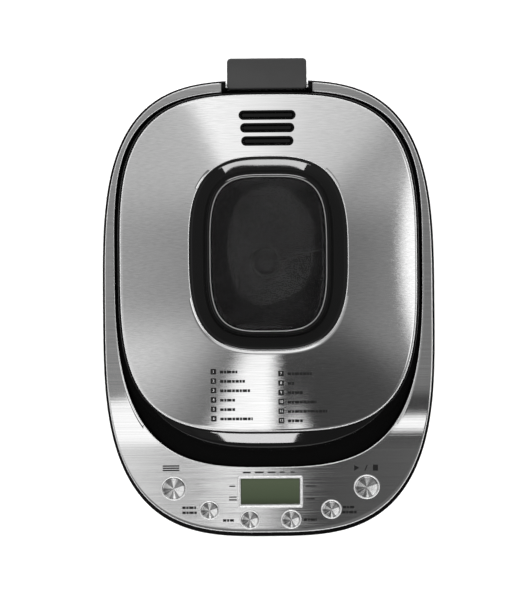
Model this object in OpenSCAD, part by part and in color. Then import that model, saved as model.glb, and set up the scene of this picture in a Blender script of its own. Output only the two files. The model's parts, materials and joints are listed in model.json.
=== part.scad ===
// Bread machine with a hinged lid, a control panel and a lift-out pan.
// The front faces -Y and the machine stands on z = 0, centred on its overall box.

/* [Body] */
// Overall width of the housing
body_w = 250; // [244:1:256]
// Depth of the housing without the hinge cover
body_d = 346; // [342:1:350]
// How far the hinge cover stands out behind the housing
hinge_overhang = 17; // [15:0.5:19]
// Height of the flat part of the top deck
deck_h = 262; // [260:1:264]
// Height of the lid's crown
crown_h = 282; // [281:1:284]
// Wall thickness of the moulded housing
wall = 2.5; // [2:0.1:3]

/* [Control panel] */
// Slope of the control panel, in degrees
panel_tilt = 17; // [15:1:19]
// Radius of the two large button caps
large_button_r = 8.35; // [8:0.05:8.6]
// Radius of the four small button caps
small_button_r = 6.3; // [6:0.05:6.5]
// Travel of a button
button_travel = 1.2; // [0.8:0.1:1.3]
// Width of the display bezel
display_w = 49.6; // [48:0.2:51]
// Height of the display bezel, along the panel
display_d = 26; // [25:0.2:27]

/* [Lid] */
// Radius of the lid's spherical crown
crown_r = 900; // [850:10:1000]
// Thickness of the steel sheets
sheet = 0.8; // [0.6:0.1:1]
// Half width of the window bezel
bezel_hw = 59.5; // [58:0.5:61]
// Half depth of the window bezel
bezel_hd = 72.8; // [71:0.1:74]
// Half width of the window opening
view_hw = 46; // [45:0.5:47]
// Half depth of the window opening
view_hd = 60.3; // [59:0.1:61]

/* [Oven] */
// Width of the oven chamber outside
chamber_w = 170; // [168:1:172]
// Depth of the oven chamber outside
chamber_d = 200; // [198:1:202]
// Corner radius of the oven chamber
chamber_corner = 30; // [28:1:32]
// Width of the pan outside its wall
pan_w = 135; // [133:1:136]
// Depth of the pan outside its wall
pan_d = 165; // [163:1:166]
// Height of the pan's rim
pan_top = 224; // [222:1:225]

/* [Drive] */
// Teeth on the large belt pulley
large_teeth = 96; // [90:1:100]
// Teeth on the motor pulley
small_teeth = 12; // [12:1:14]
// Pitch of the belt teeth
belt_pitch = 3; // [2.8:0.1:3.1]
// Radius of the drive shaft
shaft_r = 4; // [3.8:0.1:4.2]

/* [Hidden] */
$fn = 64;

black = [0.06, 0.06, 0.07];
charcoal = [0.16, 0.16, 0.17];
steel = [0.72, 0.72, 0.73];
bright = [0.85, 0.85, 0.86];
outline_steps = 72;
fit_gap = 0.2; // gap between stacked sheets and mouldings
far = 400; // longer than any cut needs to be

body_y = -hinge_overhang / 2; // middle of the housing, in the machine's frame
body_rear_n = 3.38;
body_front_n = 3.15;
lid_y = body_y + 37.3;
oven_y = body_y + 40;
bend_y = -53; // where the deck starts to fall, from the middle of the housing
panel_y = -113; // where the flat control panel starts
bend_r = (bend_y - panel_y) / sin(panel_tilt);
panel_z = deck_h - bend_r * (1 - cos(panel_tilt));
seam_drop = 30; // depth of the deck's skirt
ledge_z = 246; // seat of the lid
ledge_t = 3;
grip_z = 238; // floor of the finger recess
pocket_z = 234.5; // floor of the pocket behind the lid
hinge_y = body_y + 168;
hinge_z = 260;
pin_r = 2.5;
barrel_r = 4.6;
hinge_half = 30; // half width of the hinge cover
cheek_in = 31; // the hinge cheeks stand between these two, on each side
cheek_out = 34.3;
tray_z = 6;
tray_top = 32;
base_taper = 6; // how much narrower the housing is at its foot, each side
chassis_z = 50;
chassis_t = 1.5;
floor_z = 66; // upper face of the oven floor
pan_z = 84; // underside of the pan
motor_y = body_y - 112;
large_r = large_teeth * belt_pitch / (2 * PI);
small_r = small_teeth * belt_pitch / (2 * PI);
belt_z = 33;
belt_h = 12;
liner_z = 256;
window_y = body_y + 42;
board_depth = 14; // the control board's lower face, below the panel
board_at = -146; // middle of the control board
switch_top = 3.55 - board_depth; // tip of a switch's plunger, below the panel
stem_end = switch_top + button_travel + 0.25; // lower end of a button's stem
board_posts = [[-56, -134], [56, -134], [-56, -158], [56, -158]];
bush_r = 7;
power_x = -108.4; // the power board's component face
cover_front = body_y + 165.8;
cover_rear = body_y + body_d / 2 + hinge_overhang;
post_r = 5;
posts = [[-70, 120], [70, 120], [-70, -45], [70, -45], [-42, -145], [42, -145]];
feet = [[-85, 115], [85, 115], [-85, -115], [85, -115]];
lid_bosses = [[-88, 60], [88, 60], [-88, -50], [88, -50], [-45, 105], [45, 105]];
// Each button has x, distance from the middle of the housing and cap radius.
menu_at = [-73.2, -135, large_button_r];
start_at = [73.2, -135, large_button_r];
size_at = [-46.3, -152.1, small_button_r];
colour_at = [46.3, -152.1, small_button_r];
time_down_at = [-15.7, -159.7, small_button_r];
time_up_at = [15.7, -159.7, small_button_r];
buttons = [menu_at, start_at, size_at, colour_at, time_down_at, time_up_at];
display_at = -138.2;
vent_slots = [[145.8, 42.8], [136.2, 40.7], [126.3, 39.2]]; // distance and length
slot_w = 7.3;

// ---- Outlines ----

function sign_of(v) = v < 0 ? -1 : 1;

// Closed oval with its own fullness at the rear and at the front.
function oval(hw, rear, front, rear_n, front_n) = [
    for (i = [0:outline_steps - 1])
        let (t = 360 * i / outline_steps, c = cos(t), s = sin(t),
             e = 2 / (s >= 0 ? rear_n : front_n))
        [hw * sign_of(c) * pow(abs(c), e),
         (s >= 0 ? rear : front) * sign_of(s) * pow(abs(s), e)]];

// Rectangle with round corners, centred on the origin.
function round_rect(w, d, r) = [
    for (corner = [0:3], step = [0:8])
        let (a = 90 * corner + 90 * step / 8,
             sx = corner == 0 || corner == 3 ? 1 : -1,
             sy = corner < 2 ? 1 : -1)
        [sx * (w / 2 - r) + r * cos(a), sy * (d / 2 - r) + r * sin(a)]];

module body_outline(inset = 0) {
    translate([0, body_y])
        polygon(oval(body_w / 2 - inset, body_d / 2 - inset, body_d / 2 - inset,
                     body_rear_n, body_front_n));
}

module fascia_outline() {
    translate([0, body_y])
        polygon(oval(body_w / 2 - 1.4, body_d / 2 - 1, body_d / 2 - 3, body_rear_n, body_front_n));
}

// The recess that the lid sits in, with its crescent for the fingers.
module recess_outline(grow = 0) {
    translate([0, body_y + 41])
        polygon(oval(115.7 + grow, 123.5 + grow, 160 + grow, 3.3, 3.2));
}

module lid_outline(grow = 0) {
    translate([0, lid_y])
        polygon(oval(111.4 + grow, 124.2 + grow, 128.8 + grow, 3.3, 3.45));
}

// The lip that stands out at the lid's front edge.
module lip_outline() {
    translate([0, lid_y])
        polygon(oval(112.6, 100, 143.5, 3.3, 2.7));
}

// Crescent in front of the lid that is sunk for the fingers.
module crescent(grow = 0) {
    difference() {
        recess_outline(grow);
        lid_outline(6 - grow);
    }
}

module window_outline(hw, hd, n) {
    translate([0, window_y])
        polygon(oval(hw, hd, hd, n, n));
}

module oven_outline(w, d, r) {
    translate([0, oven_y])
        polygon(round_rect(w, d, r));
}

// ---- Surfaces ----

// Height of the deck at a distance y from the middle of the housing.
function deck_z(y) =
    y > bend_y ? deck_h :
    y > panel_y ? deck_h - bend_r + sqrt(bend_r * bend_r - (bend_y - y) * (bend_y - y)) :
    panel_z - (panel_y - y) * tan(panel_tilt);

deck_steps = [far / 2, for (i = [0:10]) bend_y + (panel_y - bend_y) * i / 10, -far / 2];

// Everything below the deck's surface, lowered by drop.
module below_deck(drop = 0) {
    line = [for (y = deck_steps) [body_y + y, deck_z(y) - drop]];
    rotate([90, 0, 90])
        linear_extrude(far, center = true)
            polygon(concat([[body_y - far / 2, -10], [body_y + far / 2, -10]], line));
}

module deck_layer(top, thickness) {
    difference() {
        below_deck(top);
        below_deck(top + thickness);
    }
}

module crown(drop = 0) {
    translate([0, lid_y, crown_h - crown_r])
        sphere(r = crown_r - drop, $fn = 256);
}

module tall(z = 0, h = far) {
    translate([0, 0, z])
        linear_extrude(h)
            children();
}

// Places children on the control panel: z = 0 is its surface, y runs up the slope.
module on_panel(x = 0, distance = panel_y) {
    translate([x, body_y + distance, deck_z(distance)])
        rotate([panel_tilt, 0, 0])
            children();
}

module block(x0, x1, y0, y1, z0, z1) {
    translate([x0, y0, z0])
        cube([x1 - x0, y1 - y0, z1 - z0]);
}

module rod(r, length) {
    rotate([0, 90, 0])
        cylinder(r = r, h = length, center = true);
}

// Machine screw standing on its tip, with its head's underside at z = 0.
module screw(shank_r, shank, head_r, head) {
    difference() {
        union() {
            translate([0, 0, -shank])
                cylinder(r = shank_r, h = shank);
            cylinder(r = head_r, h = head);
        }
        for (turn = [0, 90])
            rotate([0, 0, turn])
                translate([0, 0, head])
                    cube([head_r * 1.2, head_r * 0.25, head], center = true);
    }
}

// ---- Housing ----

module base_tray() {
    color(black)
    difference() {
        union() {
            difference() {
                tall(tray_z, tray_top - tray_z) body_outline(base_taper + 1);
                tall(tray_z + wall, far) body_outline(base_taper + 1 + wall);
            }
            for (p = posts)
                translate([p[0], body_y + p[1], tray_z + wall - 0.1])
                    cylinder(r = post_r, h = chassis_z - tray_z - wall + 0.1);
            for (y = [0, 80], x = [power_x - 3.8, power_x + 0.1])
                block(x, x + 2, body_y + y, body_y + y + 5, tray_z + wall - 0.1, 24);
        }
        for (p = posts)
            translate([p[0], body_y + p[1], chassis_z - 12])
                cylinder(r = 1.5, h = 20);
        for (f = feet)
            translate([f[0], body_y + f[1], 0])
                cylinder(r = 4, h = 20);
        for (i = [-3:3])
            block(-22, 22, motor_y + i * 9 - 2, motor_y + i * 9 + 2, 0, tray_z + wall + 1);
        for (i = [-3:3], side = [-1, 1])
            block(side * 48 - 20, side * 48 + 20, oven_y + i * 9 - 2, oven_y + i * 9 + 2,
                  0, tray_z + wall + 1);
    }
}

module rubber_feet() {
    color([0.1, 0.1, 0.1])
    for (f = feet)
        translate([f[0], body_y + f[1], 0]) {
            cylinder(r1 = 9, r2 = 10.5, h = tray_z);
            cylinder(r = 3.8, h = tray_z + wall + 1);
            translate([0, 0, tray_z + wall + 0.1])
                cylinder(r = 5.5, h = 2);
        }
}

module tapered_body(inset, z0) {
    foot = (body_w / 2 - base_taper) / (body_w / 2);
    translate([0, body_y, z0])
        linear_extrude(deck_h - z0, scale = 1 / foot)
            scale(foot)
                polygon(oval(body_w / 2 - inset, body_d / 2 - inset, body_d / 2 - inset,
                             body_rear_n, body_front_n));
}

module body_shell() {
    gland_x = 50;
    color(black)
    difference() {
        intersection() {
            union() {
                difference() {
                    tapered_body(0, tray_top + 0.4);
                    tapered_body(wall, tray_top + 0.4);
                }
                translate([gland_x, body_y + 156, 52])
                    rotate([-90, 0, 0])
                        cylinder(r = 11, h = 9.5);
            }
            below_deck(seam_drop + 0.3);
        }
        translate([gland_x, body_y + 140, 52])
            rotate([-90, 0, 0])
                cylinder(r = 7.1, h = 60);
        for (i = [0:8])
            block(-40, 40, body_y + 140, body_y + 190, 92 + i * 7, 95 + i * 7);
    }
}

module hinge_cheek_shape() {
    // Seen along X: a round ear on a foot that runs down to the pocket's floor.
    translate([hinge_y, hinge_z])
        circle(r = barrel_r);
    translate([hinge_y - 3, pocket_z - 2.5])
        square([body_y + 171.5 - hinge_y + 3, hinge_z - pocket_z + 2.5]);
}

module panel_holes(grow = 0) {
    for (b = buttons)
        on_panel(b[0], b[1])
            cylinder(r = b[2] + 1.1 + grow, h = 20, center = true);
    on_panel(0, display_at)
        cube([display_w - 2 + 2 * grow, display_d - 2 + 2 * grow, 20], center = true);
}

module top_deck() {
    color(black)
    difference() {
        union() {
            // Rim, skirt and top plate
            difference() {
                intersection() {
                    tall() body_outline();
                    deck_layer(0, seam_drop);
                }
                intersection() {
                    tall() body_outline(wall);
                    below_deck(3);
                }
                tall() recess_outline(1);
            }
            // Wall of the lid's recess
            intersection() {
                tall(ledge_z - ledge_t) difference() {
                    recess_outline(wall);
                    recess_outline();
                }
                below_deck(0);
            }
            tall(ledge_z - ledge_t, ledge_t) recess_outline(1);
            // Tray of the finger recess
            tall(grip_z - wall, ledge_z - grip_z + wall) crescent(wall);
            // Pocket that the hinge cover swings into
            block(-cheek_out, cheek_out, body_y + 151.5, body_y + 170.2, pocket_z - 2.5, ledge_z);
            for (side = [-1, 1])
                translate([side * (cheek_in + cheek_out) / 2, 0, 0])
                    rotate([90, 0, 90])
                        linear_extrude(cheek_out - cheek_in, center = true)
                            hinge_cheek_shape();
            // Posts for the control board
            for (p = board_posts)
                on_panel(p[0], p[1])
                    translate([0, 0, -board_depth + 1.7])
                        cylinder(r = 2.5, h = board_depth - 2.5);
        }
        // Mouth of the oven
        tall() oven_outline(chamber_w + 2, chamber_d + 2, chamber_corner + 1);
        tall(grip_z) crescent();
        // Seat of the steel fascia
        intersection() {
            tall() fascia_outline();
            deck_layer(-1, 1 + sheet + fit_gap);
        }
        // Notch and pocket of the hinge
        block(-cheek_in, cheek_in, body_y + 154, body_y + 200, pocket_z, far);
        translate([0, hinge_y, hinge_z])
            rod(pin_r + 0.02, 2 * cheek_out + 2);
        panel_holes(0.1);
        for (p = board_posts)
            on_panel(p[0], p[1])
                translate([0, 0, -board_depth])
                    cylinder(r = 1.3, h = 9);
    }
}

module steel_fascia() {
    color(steel)
    difference() {
        intersection() {
            tall() difference() {
                offset(delta = -0.2) fascia_outline();
                recess_outline(0.2);
            }
            deck_layer(0, sheet);
        }
        block(-cheek_out - 0.2, cheek_out + 0.2, body_y + 140, body_y + 200, 200, 300);
        panel_holes();
    }
}

module deck_screws() {
    color(bright)
    for (p = board_posts)
        on_panel(p[0], p[1])
            translate([0, 0, -board_depth])
                rotate([180, 0, 0])
                    screw(1.2, 8, 2.4, 1.6);
}

// ---- Lid ----

module vent_slot(length, width) {
    hull_r = width / 2;
    for (side = [-1, 1])
        translate([side * (length / 2 - hull_r), 0])
            circle(r = hull_r);
    square([length - width, width], center = true);
}

module vent_openings(inset) {
    for (v = vent_slots)
        translate([0, body_y + v[0]])
            vent_slot(v[1] - 2 * inset, slot_w - 2 * inset);
}

module lid_cover() {
    color(steel)
    difference() {
        intersection() {
            crown();
            tall(200) lid_outline();
        }
        crown(sheet);
        tall(200) window_outline(bezel_hw, bezel_hd, 2.95);
        tall(200) vent_openings(0);
    }
}

module lid_wall(grow, z0) {
    intersection() {
        crown();
        tall(z0) lid_outline(grow);
    }
}

module lid_lip() {
    // Sloping grip at the front, cut off by a plane that falls towards its edge.
    intersection() {
        tall(254, 40) lip_outline();
        rotate([90, 0, 90])
            linear_extrude(far, center = true)
                polygon([[lid_y - 150, 250], [lid_y - 10, 250], [lid_y - 10, 300],
                         [body_y - 78, 283], [body_y - 94, 271], [body_y - 106.5, 256.5],
                         [lid_y - 150, 250.1]]);
        crown();
    }
}

module lid_frame() {
    color(black)
    difference() {
        union() {
            difference() {
                union() {
                    lid_wall(1.5, ledge_z + 0.3);
                    lid_lip();
                }
                // Hollow underside
                intersection() {
                    crown(sheet + fit_gap + 2.2);
                    tall(200) lid_outline(-2);
                }
                // Seat of the steel cover
                difference() {
                    tall(200) lid_outline(0.15);
                    crown(sheet + fit_gap);
                }
            }
            for (b = lid_bosses)
                intersection() {
                    translate([b[0], lid_y + b[1], liner_z + sheet + 0.1])
                        cylinder(r = 4, h = 40);
                    crown(sheet + fit_gap + 1);
                }
            // Hinge knuckle
            translate([0, hinge_y, hinge_z])
                rod(barrel_r, 2 * hinge_half - 1);
            block(-hinge_half + 0.5, hinge_half - 0.5, lid_y + 123.8, hinge_y, 255.8, 262);
            block(-24, 24, hinge_y, hinge_y + 15, 257.5, 261);
        }
        tall(200) window_outline(bezel_hw - 3, bezel_hd - 3, 2.95);
        tall(200) window_seat();
        tall(200) vent_openings(-0.8);
        translate([0, hinge_y, hinge_z])
            rod(pin_r + 0.06, 3 * hinge_half);
        for (b = lid_bosses)
            translate([b[0], lid_y + b[1], liner_z])
                cylinder(r = 1.3, h = 12);
    }
}

// Cut in the lid frame that takes the window bezel.
module window_seat() {
    window_outline(bezel_hw + 0.1, bezel_hd + 0.1, 2.95);
}

module window_bezel() {
    color([0.02, 0.02, 0.02])
    difference() {
        intersection() {
            crown(-0.3);
            tall(261) window_outline(bezel_hw - 0.3, bezel_hd - 0.3, 2.95);
        }
        // Funnel down to the glass
        hull() {
            tall(270, 0.1) window_outline(view_hw, view_hd, 3.6);
            tall(284, 0.1) window_outline(view_hw + 9, view_hd + 9, 3.1);
        }
        tall(260, 12) window_outline(view_hw - 2, view_hd - 2, 3.6);
        // Rebate for the outer pane
        tall(260, 8.2) window_outline(view_hw + 4, view_hd + 4, 3.6);
    }
}

module window_glass_outer() {
    color([0.35, 0.38, 0.4, 0.4])
    tall(265, 3) window_outline(view_hw + 3.7, view_hd + 3.7, 3.6);
}

module window_glass_inner() {
    color([0.35, 0.38, 0.4, 0.4])
    tall(liner_z + 2, 3) window_outline(view_hw + 3, view_hd + 3, 3.6);
}

module window_gasket() {
    color([0.25, 0.25, 0.25])
    difference() {
        tall(liner_z + sheet + 0.1, 4) window_outline(view_hw + 6, view_hd + 6, 3.6);
        tall(liner_z + 1.9, 4) window_outline(view_hw + 3.1, view_hd + 3.1, 3.6);
        tall(liner_z) window_outline(view_hw - 1, view_hd - 1, 3.6);
    }
}

module lid_vent_insert() {
    color(black)
    difference() {
        intersection() {
            crown(-0.7);
            union() {
                tall(200) vent_openings(0.25);
                // Plate that holds the three collars, under the frame's top
                translate([0, body_y + 136, 0])
                    tall(268.6, 1.8) square([54, 34], center = true);
            }
        }
        tall(200, 64) square(far, center = true);
        tall(200) vent_openings(1.9);
        // Dished top of each collar
        difference() {
            tall(200) vent_openings(1.1);
            crown(1.2);
        }
    }
}

module lid_liner() {
    color([0.6, 0.6, 0.6])
    difference() {
        tall(liner_z, sheet) lid_outline(-2.6);
        tall(200) window_outline(view_hw, view_hd, 3.6);
        for (x = [-20:8:20], y = [126, 136, 146])
            translate([x, body_y + y, 200])
                cylinder(r = 2, h = 100);
        for (b = lid_bosses)
            translate([b[0], lid_y + b[1], 200])
                cylinder(r = 1.6, h = 100);
    }
}

module lid_screws() {
    color(bright)
    for (b = lid_bosses)
        translate([b[0], lid_y + b[1], liner_z])
            rotate([180, 0, 0])
                screw(1.2, 9, 2.8, 1.6);
}

// Side view of the hinge cover, whose top falls gently towards the rear.
module cover_side(inset) {
    span = cover_rear - cover_front;
    top = [for (i = [0:10]) [cover_front + span * i / 10, 266.3 - 5.5 * pow(i / 10, 2) - inset]];
    polygon(concat([[cover_rear, 254.2 - inset], [cover_front, 254.2 - inset]], top));
}

module hinge_cover() {
    shell = 2;
    color(charcoal)
    difference() {
        intersection() {
            rotate([90, 0, 90])
                linear_extrude(2 * hinge_half, center = true)
                    cover_side(0);
            tall() translate([0, (cover_front + cover_rear) / 2])
                polygon(round_rect(2 * hinge_half, cover_rear - cover_front, 3));
        }
        intersection() {
            rotate([90, 0, 90])
                linear_extrude(2 * (hinge_half - shell), center = true)
                    cover_side(shell);
            block(-far, far, hinge_y, cover_rear - shell, 0, far);
        }
        // Room for the knuckle and its arm
        block(-far, far, cover_front - 1, hinge_y, 240, 262.2);
        block(-far, far, hinge_y - 1, hinge_y + barrel_r + 0.6, 240, hinge_z);
        translate([0, hinge_y, hinge_z])
            rod(barrel_r + 0.15, 100);
    }
}

module hinge_pin() {
    color(bright)
    translate([0, hinge_y, hinge_z])
        rod(pin_r, 2 * cheek_out - 0.4);
}

// ---- Control panel ----

module button_rings() {
    color(bright)
    for (b = buttons)
        on_panel(b[0], b[1])
            difference() {
                union() {
                    translate([0, 0, 0.05])
                        cylinder(r1 = b[2] + 1.6, r2 = b[2] + 1, h = 0.8);
                    translate([0, 0, -4])
                        cylinder(r = b[2] + 1, h = 4.2);
                }
                cylinder(r = b[2] + 0.25, h = 20, center = true);
            }
}

module button_cap(b) {
    rise = 0.8; // straight part of the cap above the panel
    skirt = 6; // part of the cap below the panel
    color(bright)
    on_panel(b[0], b[1])
        difference() {
            union() {
                translate([0, 0, -skirt])
                    cylinder(r = b[2], h = skirt + rise);
                translate([0, 0, rise])
                    cylinder(r1 = b[2], r2 = b[2] - 0.5, h = 0.5);
                translate([0, 0, stem_end])
                    cylinder(r = 2.2, h = 1 - skirt - stem_end);
            }
            // Shallow dish
            translate([0, 0, 1 + 60])
                sphere(r = 60, $fn = 128);
        }
}

module button_menu() { button_cap(menu_at); }
module button_start() { button_cap(start_at); }
module button_size() { button_cap(size_at); }
module button_colour() { button_cap(colour_at); }
module button_time_down() { button_cap(time_down_at); }
module button_time_up() { button_cap(time_up_at); }

module display_bezel() {
    color(bright)
    on_panel(0, display_at)
        difference() {
            union() {
                translate([0, 0, 0.05])
                    linear_extrude(1)
                        polygon(round_rect(display_w, display_d, 1.5));
                translate([0, 0, -4])
                    linear_extrude(4.1)
                        polygon(round_rect(display_w - 2.4, display_d - 2.4, 1));
            }
            cube([display_w - 5.2, display_d - 5.2, 20], center = true);
        }
}

module display_lens() {
    color([0.3, 0.38, 0.22])
    on_panel(0, display_at)
        translate([0, 0, -1.2])
            cube([display_w - 5.4, display_d - 5.4, 1], center = true);
}

module display_module() {
    color([0.2, 0.24, 0.16])
    on_panel(0, display_at) {
        translate([0, 0, -3.2])
            cube([display_w - 5.6, display_d - 5.6, 2.6], center = true);
        translate([0, 0, -8.3])
            cube([display_w + 3, display_d - 2, 7.8], center = true);
    }
}

module control_board() {
    color([0.05, 0.3, 0.12])
    difference() {
        intersection() {
            on_panel(0, board_at)
                translate([0, 0, -board_depth + 0.8])
                    cube([176, 36, 1.6], center = true);
            tall() body_outline(8);
        }
        for (p = board_posts)
            on_panel(p[0], p[1])
                cylinder(r = 1.5, h = 60, center = true);
    }
}

module tact_switches() {
    base = switch_top - 1.9; // the board's upper face
    color([0.1, 0.1, 0.1])
    for (b = buttons)
        on_panel(b[0], b[1]) {
            translate([0, 0, base + 0.65])
                cube([6, 6, 1.3], center = true);
            translate([0, 0, base])
                cylinder(r = 1.7, h = 1.9);
        }
}

// ---- Chassis and oven ----

module chassis_plate() {
    color([0.6, 0.62, 0.62])
    difference() {
        tall(chassis_z, chassis_t) intersection() {
            translate([0, body_y - 12]) square([164, 290], center = true);
            body_outline(18);
        }
        for (p = posts)
            translate([p[0], body_y + p[1], 0])
                cylinder(r = 1.8, h = 100);
        translate([0, oven_y, 0])
            cylinder(r = 11, h = 100);
        translate([0, motor_y, 0])
            cylinder(r = 13, h = 100);
        for (x = [-60, 60])
            translate([x, oven_y, 0])
                cylinder(r = 16, h = 100);
    }
}

module chassis_screws() {
    color(bright)
    for (p = posts)
        translate([p[0], body_y + p[1], chassis_z + chassis_t])
            screw(1.4, 10, 3.4, 2);
}

module oven_chamber() {
    color([0.68, 0.68, 0.66])
    difference() {
        union() {
            tall(floor_z - 1, 178) oven_outline(chamber_w, chamber_d, chamber_corner);
            tall(242, 0.9) oven_outline(chamber_w + 14, chamber_d + 14, chamber_corner + 7);
        }
        tall(floor_z, far) oven_outline(chamber_w - 2, chamber_d - 2, chamber_corner - 1);
        translate([0, oven_y, 0])
            cylinder(r = 17, h = 100);
        for (y = [-12, 12])
            translate([chamber_w / 2, oven_y + y, 88])
                rod(6.1, 20);
        translate([0, oven_y - chamber_d / 2, 120])
            rotate([90, 0, 0])
                cylinder(r = 5, h = 20, center = true);
    }
}

module chamber_spacers() {
    color([0.8, 0.78, 0.7])
    for (x = [-50, 50], y = [-60, 60])
        translate([x, oven_y + y, chassis_z + chassis_t])
            cylinder(r = 6, h = floor_z - 1 - chassis_z - chassis_t);
}

// Quarter bend of the heater tube about the origin, between two angles.
module heater_bend(bend_r, start, sweep) {
    rotate([0, 0, start])
        rotate_extrude(angle = sweep, $fn = 96)
            translate([bend_r, 0])
                circle(r = 3.25);
}

module heater_run(x, y, length, turn) {
    translate([x, y, 0])
        rotate([0, 0, turn])
            rod(3.25, length);
}

module heating_element() {
    hx = 76;
    hy = 91;
    bend = 30;
    lead = 5;
    color([0.25, 0.24, 0.24])
    translate([0, oven_y, 88]) {
        for (sx = [-1, 1], sy = [-1, 1])
            translate([sx * (hx - bend), sy * (hy - bend), 0])
                heater_bend(bend, sx > 0 ? (sy > 0 ? 0 : 270) : (sy > 0 ? 90 : 180), 90);
        for (sy = [-1, 1]) {
            heater_run(0, sy * hy, 2 * (hx - bend), 0);
            heater_run(hx, sy * (hy - bend + 12 + lead) / 2, hy - bend - 12 - lead, 90);
            translate([hx + lead, sy * (12 + lead), 0])
                heater_bend(lead, sy > 0 ? 180 : 90, 90);
            heater_run(hx + lead + 7, sy * 12, 14, 0);
        }
        heater_run(-hx, 0, 2 * (hy - bend), 90);
    }
}

module heater_insulators() {
    color([0.9, 0.88, 0.82])
    for (y = [-12, 12])
        translate([chamber_w / 2 - 0.5, oven_y + y, 88])
            difference() {
                union() {
                    rod(5.9, 6);
                    translate([2.1, 0, 0])
                        rod(7.5, 3);
                }
                rod(3.4, 20);
            }
}

module heater_supports() {
    color([0.6, 0.6, 0.6])
    for (p = [[0, 91], [0, -91], [-76, 40], [-76, -40]])
        translate([p[0], oven_y + p[1], floor_z]) {
            translate([0, 0, 0.6])
                cube([10, 8, 1.2], center = true);
            cylinder(r = 2.5, h = 18.6);
        }
}

module temperature_sensor() {
    wall_y = oven_y - chamber_d / 2;
    color([0.75, 0.72, 0.6])
    translate([0, wall_y, 120])
        rotate([-90, 0, 0]) {
            translate([0, 0, -8])
                cylinder(r = 4.6, h = (chamber_d - pan_d) / 2 + 7.4);
            translate([0, 0, -2.5])
                cylinder(r = 9, h = 2.4);
        }
}

module thermal_fuse() {
    color([0.8, 0.8, 0.82])
    translate([chamber_w / 2 + 4.2, oven_y + 40, 150]) {
        rotate([90, 0, 0])
            cylinder(r = 2.2, h = 14, center = true);
        translate([-2.1, 0, 0])
            cube([3.9, 6, 9], center = true);
    }
}

module pan_holder() {
    color([0.55, 0.56, 0.56])
    translate([0, oven_y, floor_z])
        difference() {
            union() {
                cylinder(r = 54, h = 1.5);
                cylinder(r = 40, h = 8);
            }
            cylinder(r = 34.6, h = 30, center = true);
        }
}

module pan_clips() {
    color(bright)
    for (turn = [0, 180])
        translate([0, oven_y, floor_z + 1.5])
            rotate([0, 0, turn]) {
                block(40.8, 42, -7, 7, 0, 14);
                block(42, 49, -7, 7, 0, 1.2);
            }
}

// ---- Pan ----

module bread_pan() {
    color([0.2, 0.2, 0.21])
    difference() {
        union() {
            tall(pan_z, pan_top - pan_z) oven_outline(pan_w, pan_d, 28);
            tall(pan_top - 2, 2) oven_outline(pan_w + 11, pan_d + 11, 33);
        }
        tall(pan_z + 1.5, far) oven_outline(pan_w - 3, pan_d - 3, 26.5);
        translate([0, oven_y, 0])
            cylinder(r = 8.05, h = 200);
    }
}

module pan_base() {
    color([0.7, 0.7, 0.72])
    translate([0, oven_y, 0])
        difference() {
            union() {
                translate([0, 0, 68])
                    cylinder(r = 34, h = pan_z - 68);
                translate([0, 0, 74.1])
                    cylinder(r = 38.5, h = 3);
                translate([0, 0, pan_z - 2])
                    cylinder(r = 40, h = 2);
            }
            cylinder(r = 30, h = 200);
        }
}

module pan_bush() {
    color([0.75, 0.6, 0.35])
    translate([0, oven_y, 0])
        difference() {
            union() {
                translate([0, 0, 79])
                    cylinder(r = 8, h = 13);
                translate([0, 0, pan_z - 2.8])
                    cylinder(r = 13, h = 2.8);
            }
            cylinder(r = shaft_r + 0.05, h = 200);
        }
}

module pan_ears() {
    color(bright)
    for (side = [-1, 1])
        translate([side * 69.5, oven_y, pan_top])
            rotate([90, 0, 90])
                linear_extrude(2, center = true)
                    difference() {
                        union() {
                            translate([0, 6]) circle(r = 6);
                            translate([-9, 0]) square([18, 5]);
                        }
                        translate([0, 6]) circle(r = 2.1);
                    }
}

module pan_handle() {
    reach = 86;
    arm_x = 76;
    bend = 24;
    color(bright)
    translate([0, oven_y, pan_top + 6]) {
        for (side = [-1, 1]) {
            translate([side * (arm_x - 6), 0, 0])
                rod(2, 12);
            translate([side * arm_x, 0, 0])
                sphere(r = 2, $fn = 48);
            translate([side * arm_x, -(reach - bend) / 2, 0])
                rotate([90, 0, 0])
                    cylinder(r = 2, h = reach - bend, center = true);
            translate([side * (arm_x - bend), -(reach - bend), 0])
                rotate([0, 0, side > 0 ? 270 : 180])
                    rotate_extrude(angle = 90, $fn = 96)
                        translate([bend, 0]) circle(r = 2);
        }
        translate([0, -reach, 0])
            rod(2, 2 * (arm_x - bend));
    }
}

module paddle_shaft() {
    color(bright)
    translate([0, oven_y, 0]) {
        translate([0, 0, 71])
            cylinder(r = shaft_r, h = 22);
        // Flatted end that carries the paddle
        intersection() {
            translate([0, 0, 92.9])
                cylinder(r = shaft_r, h = 19);
            block(-10, 10, -10, shaft_r - 1.2, 80, 130);
        }
        // Two-winged dog, driven by the coupler
        block(-12.5, 12.5, -3, 3, 71, 75);
    }
}

module kneading_paddle() {
    bore_r = shaft_r + 0.15;
    color([0.22, 0.22, 0.23])
    translate([0, oven_y, 0])
        difference() {
            union() {
                translate([0, 0, 92.4])
                    cylinder(r1 = 9.5, r2 = 8, h = 24);
                translate([0, 0, 116.4])
                    cylinder(r1 = 8, r2 = 5, h = 1.6);
                // Blade that falls towards its tip
                rotate([90, 0, 20])
                    linear_extrude(3.5, center = true)
                        polygon([[0, 92.4], [46, 92.4], [49, 95], [46, 104], [30, 113], [0, 116]]);
                rotate([0, 0, 20])
                    block(-16, 0, -3.5, 3.5, 92.4, 100);
            }
            intersection() {
                translate([0, 0, 90])
                    cylinder(r = bore_r, h = 22.6);
                block(-10, 10, -10, shaft_r - 1.05, 80, 130);
            }
            cylinder(r = bore_r, h = 93.3);
        }
}

// ---- Drive ----

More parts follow.
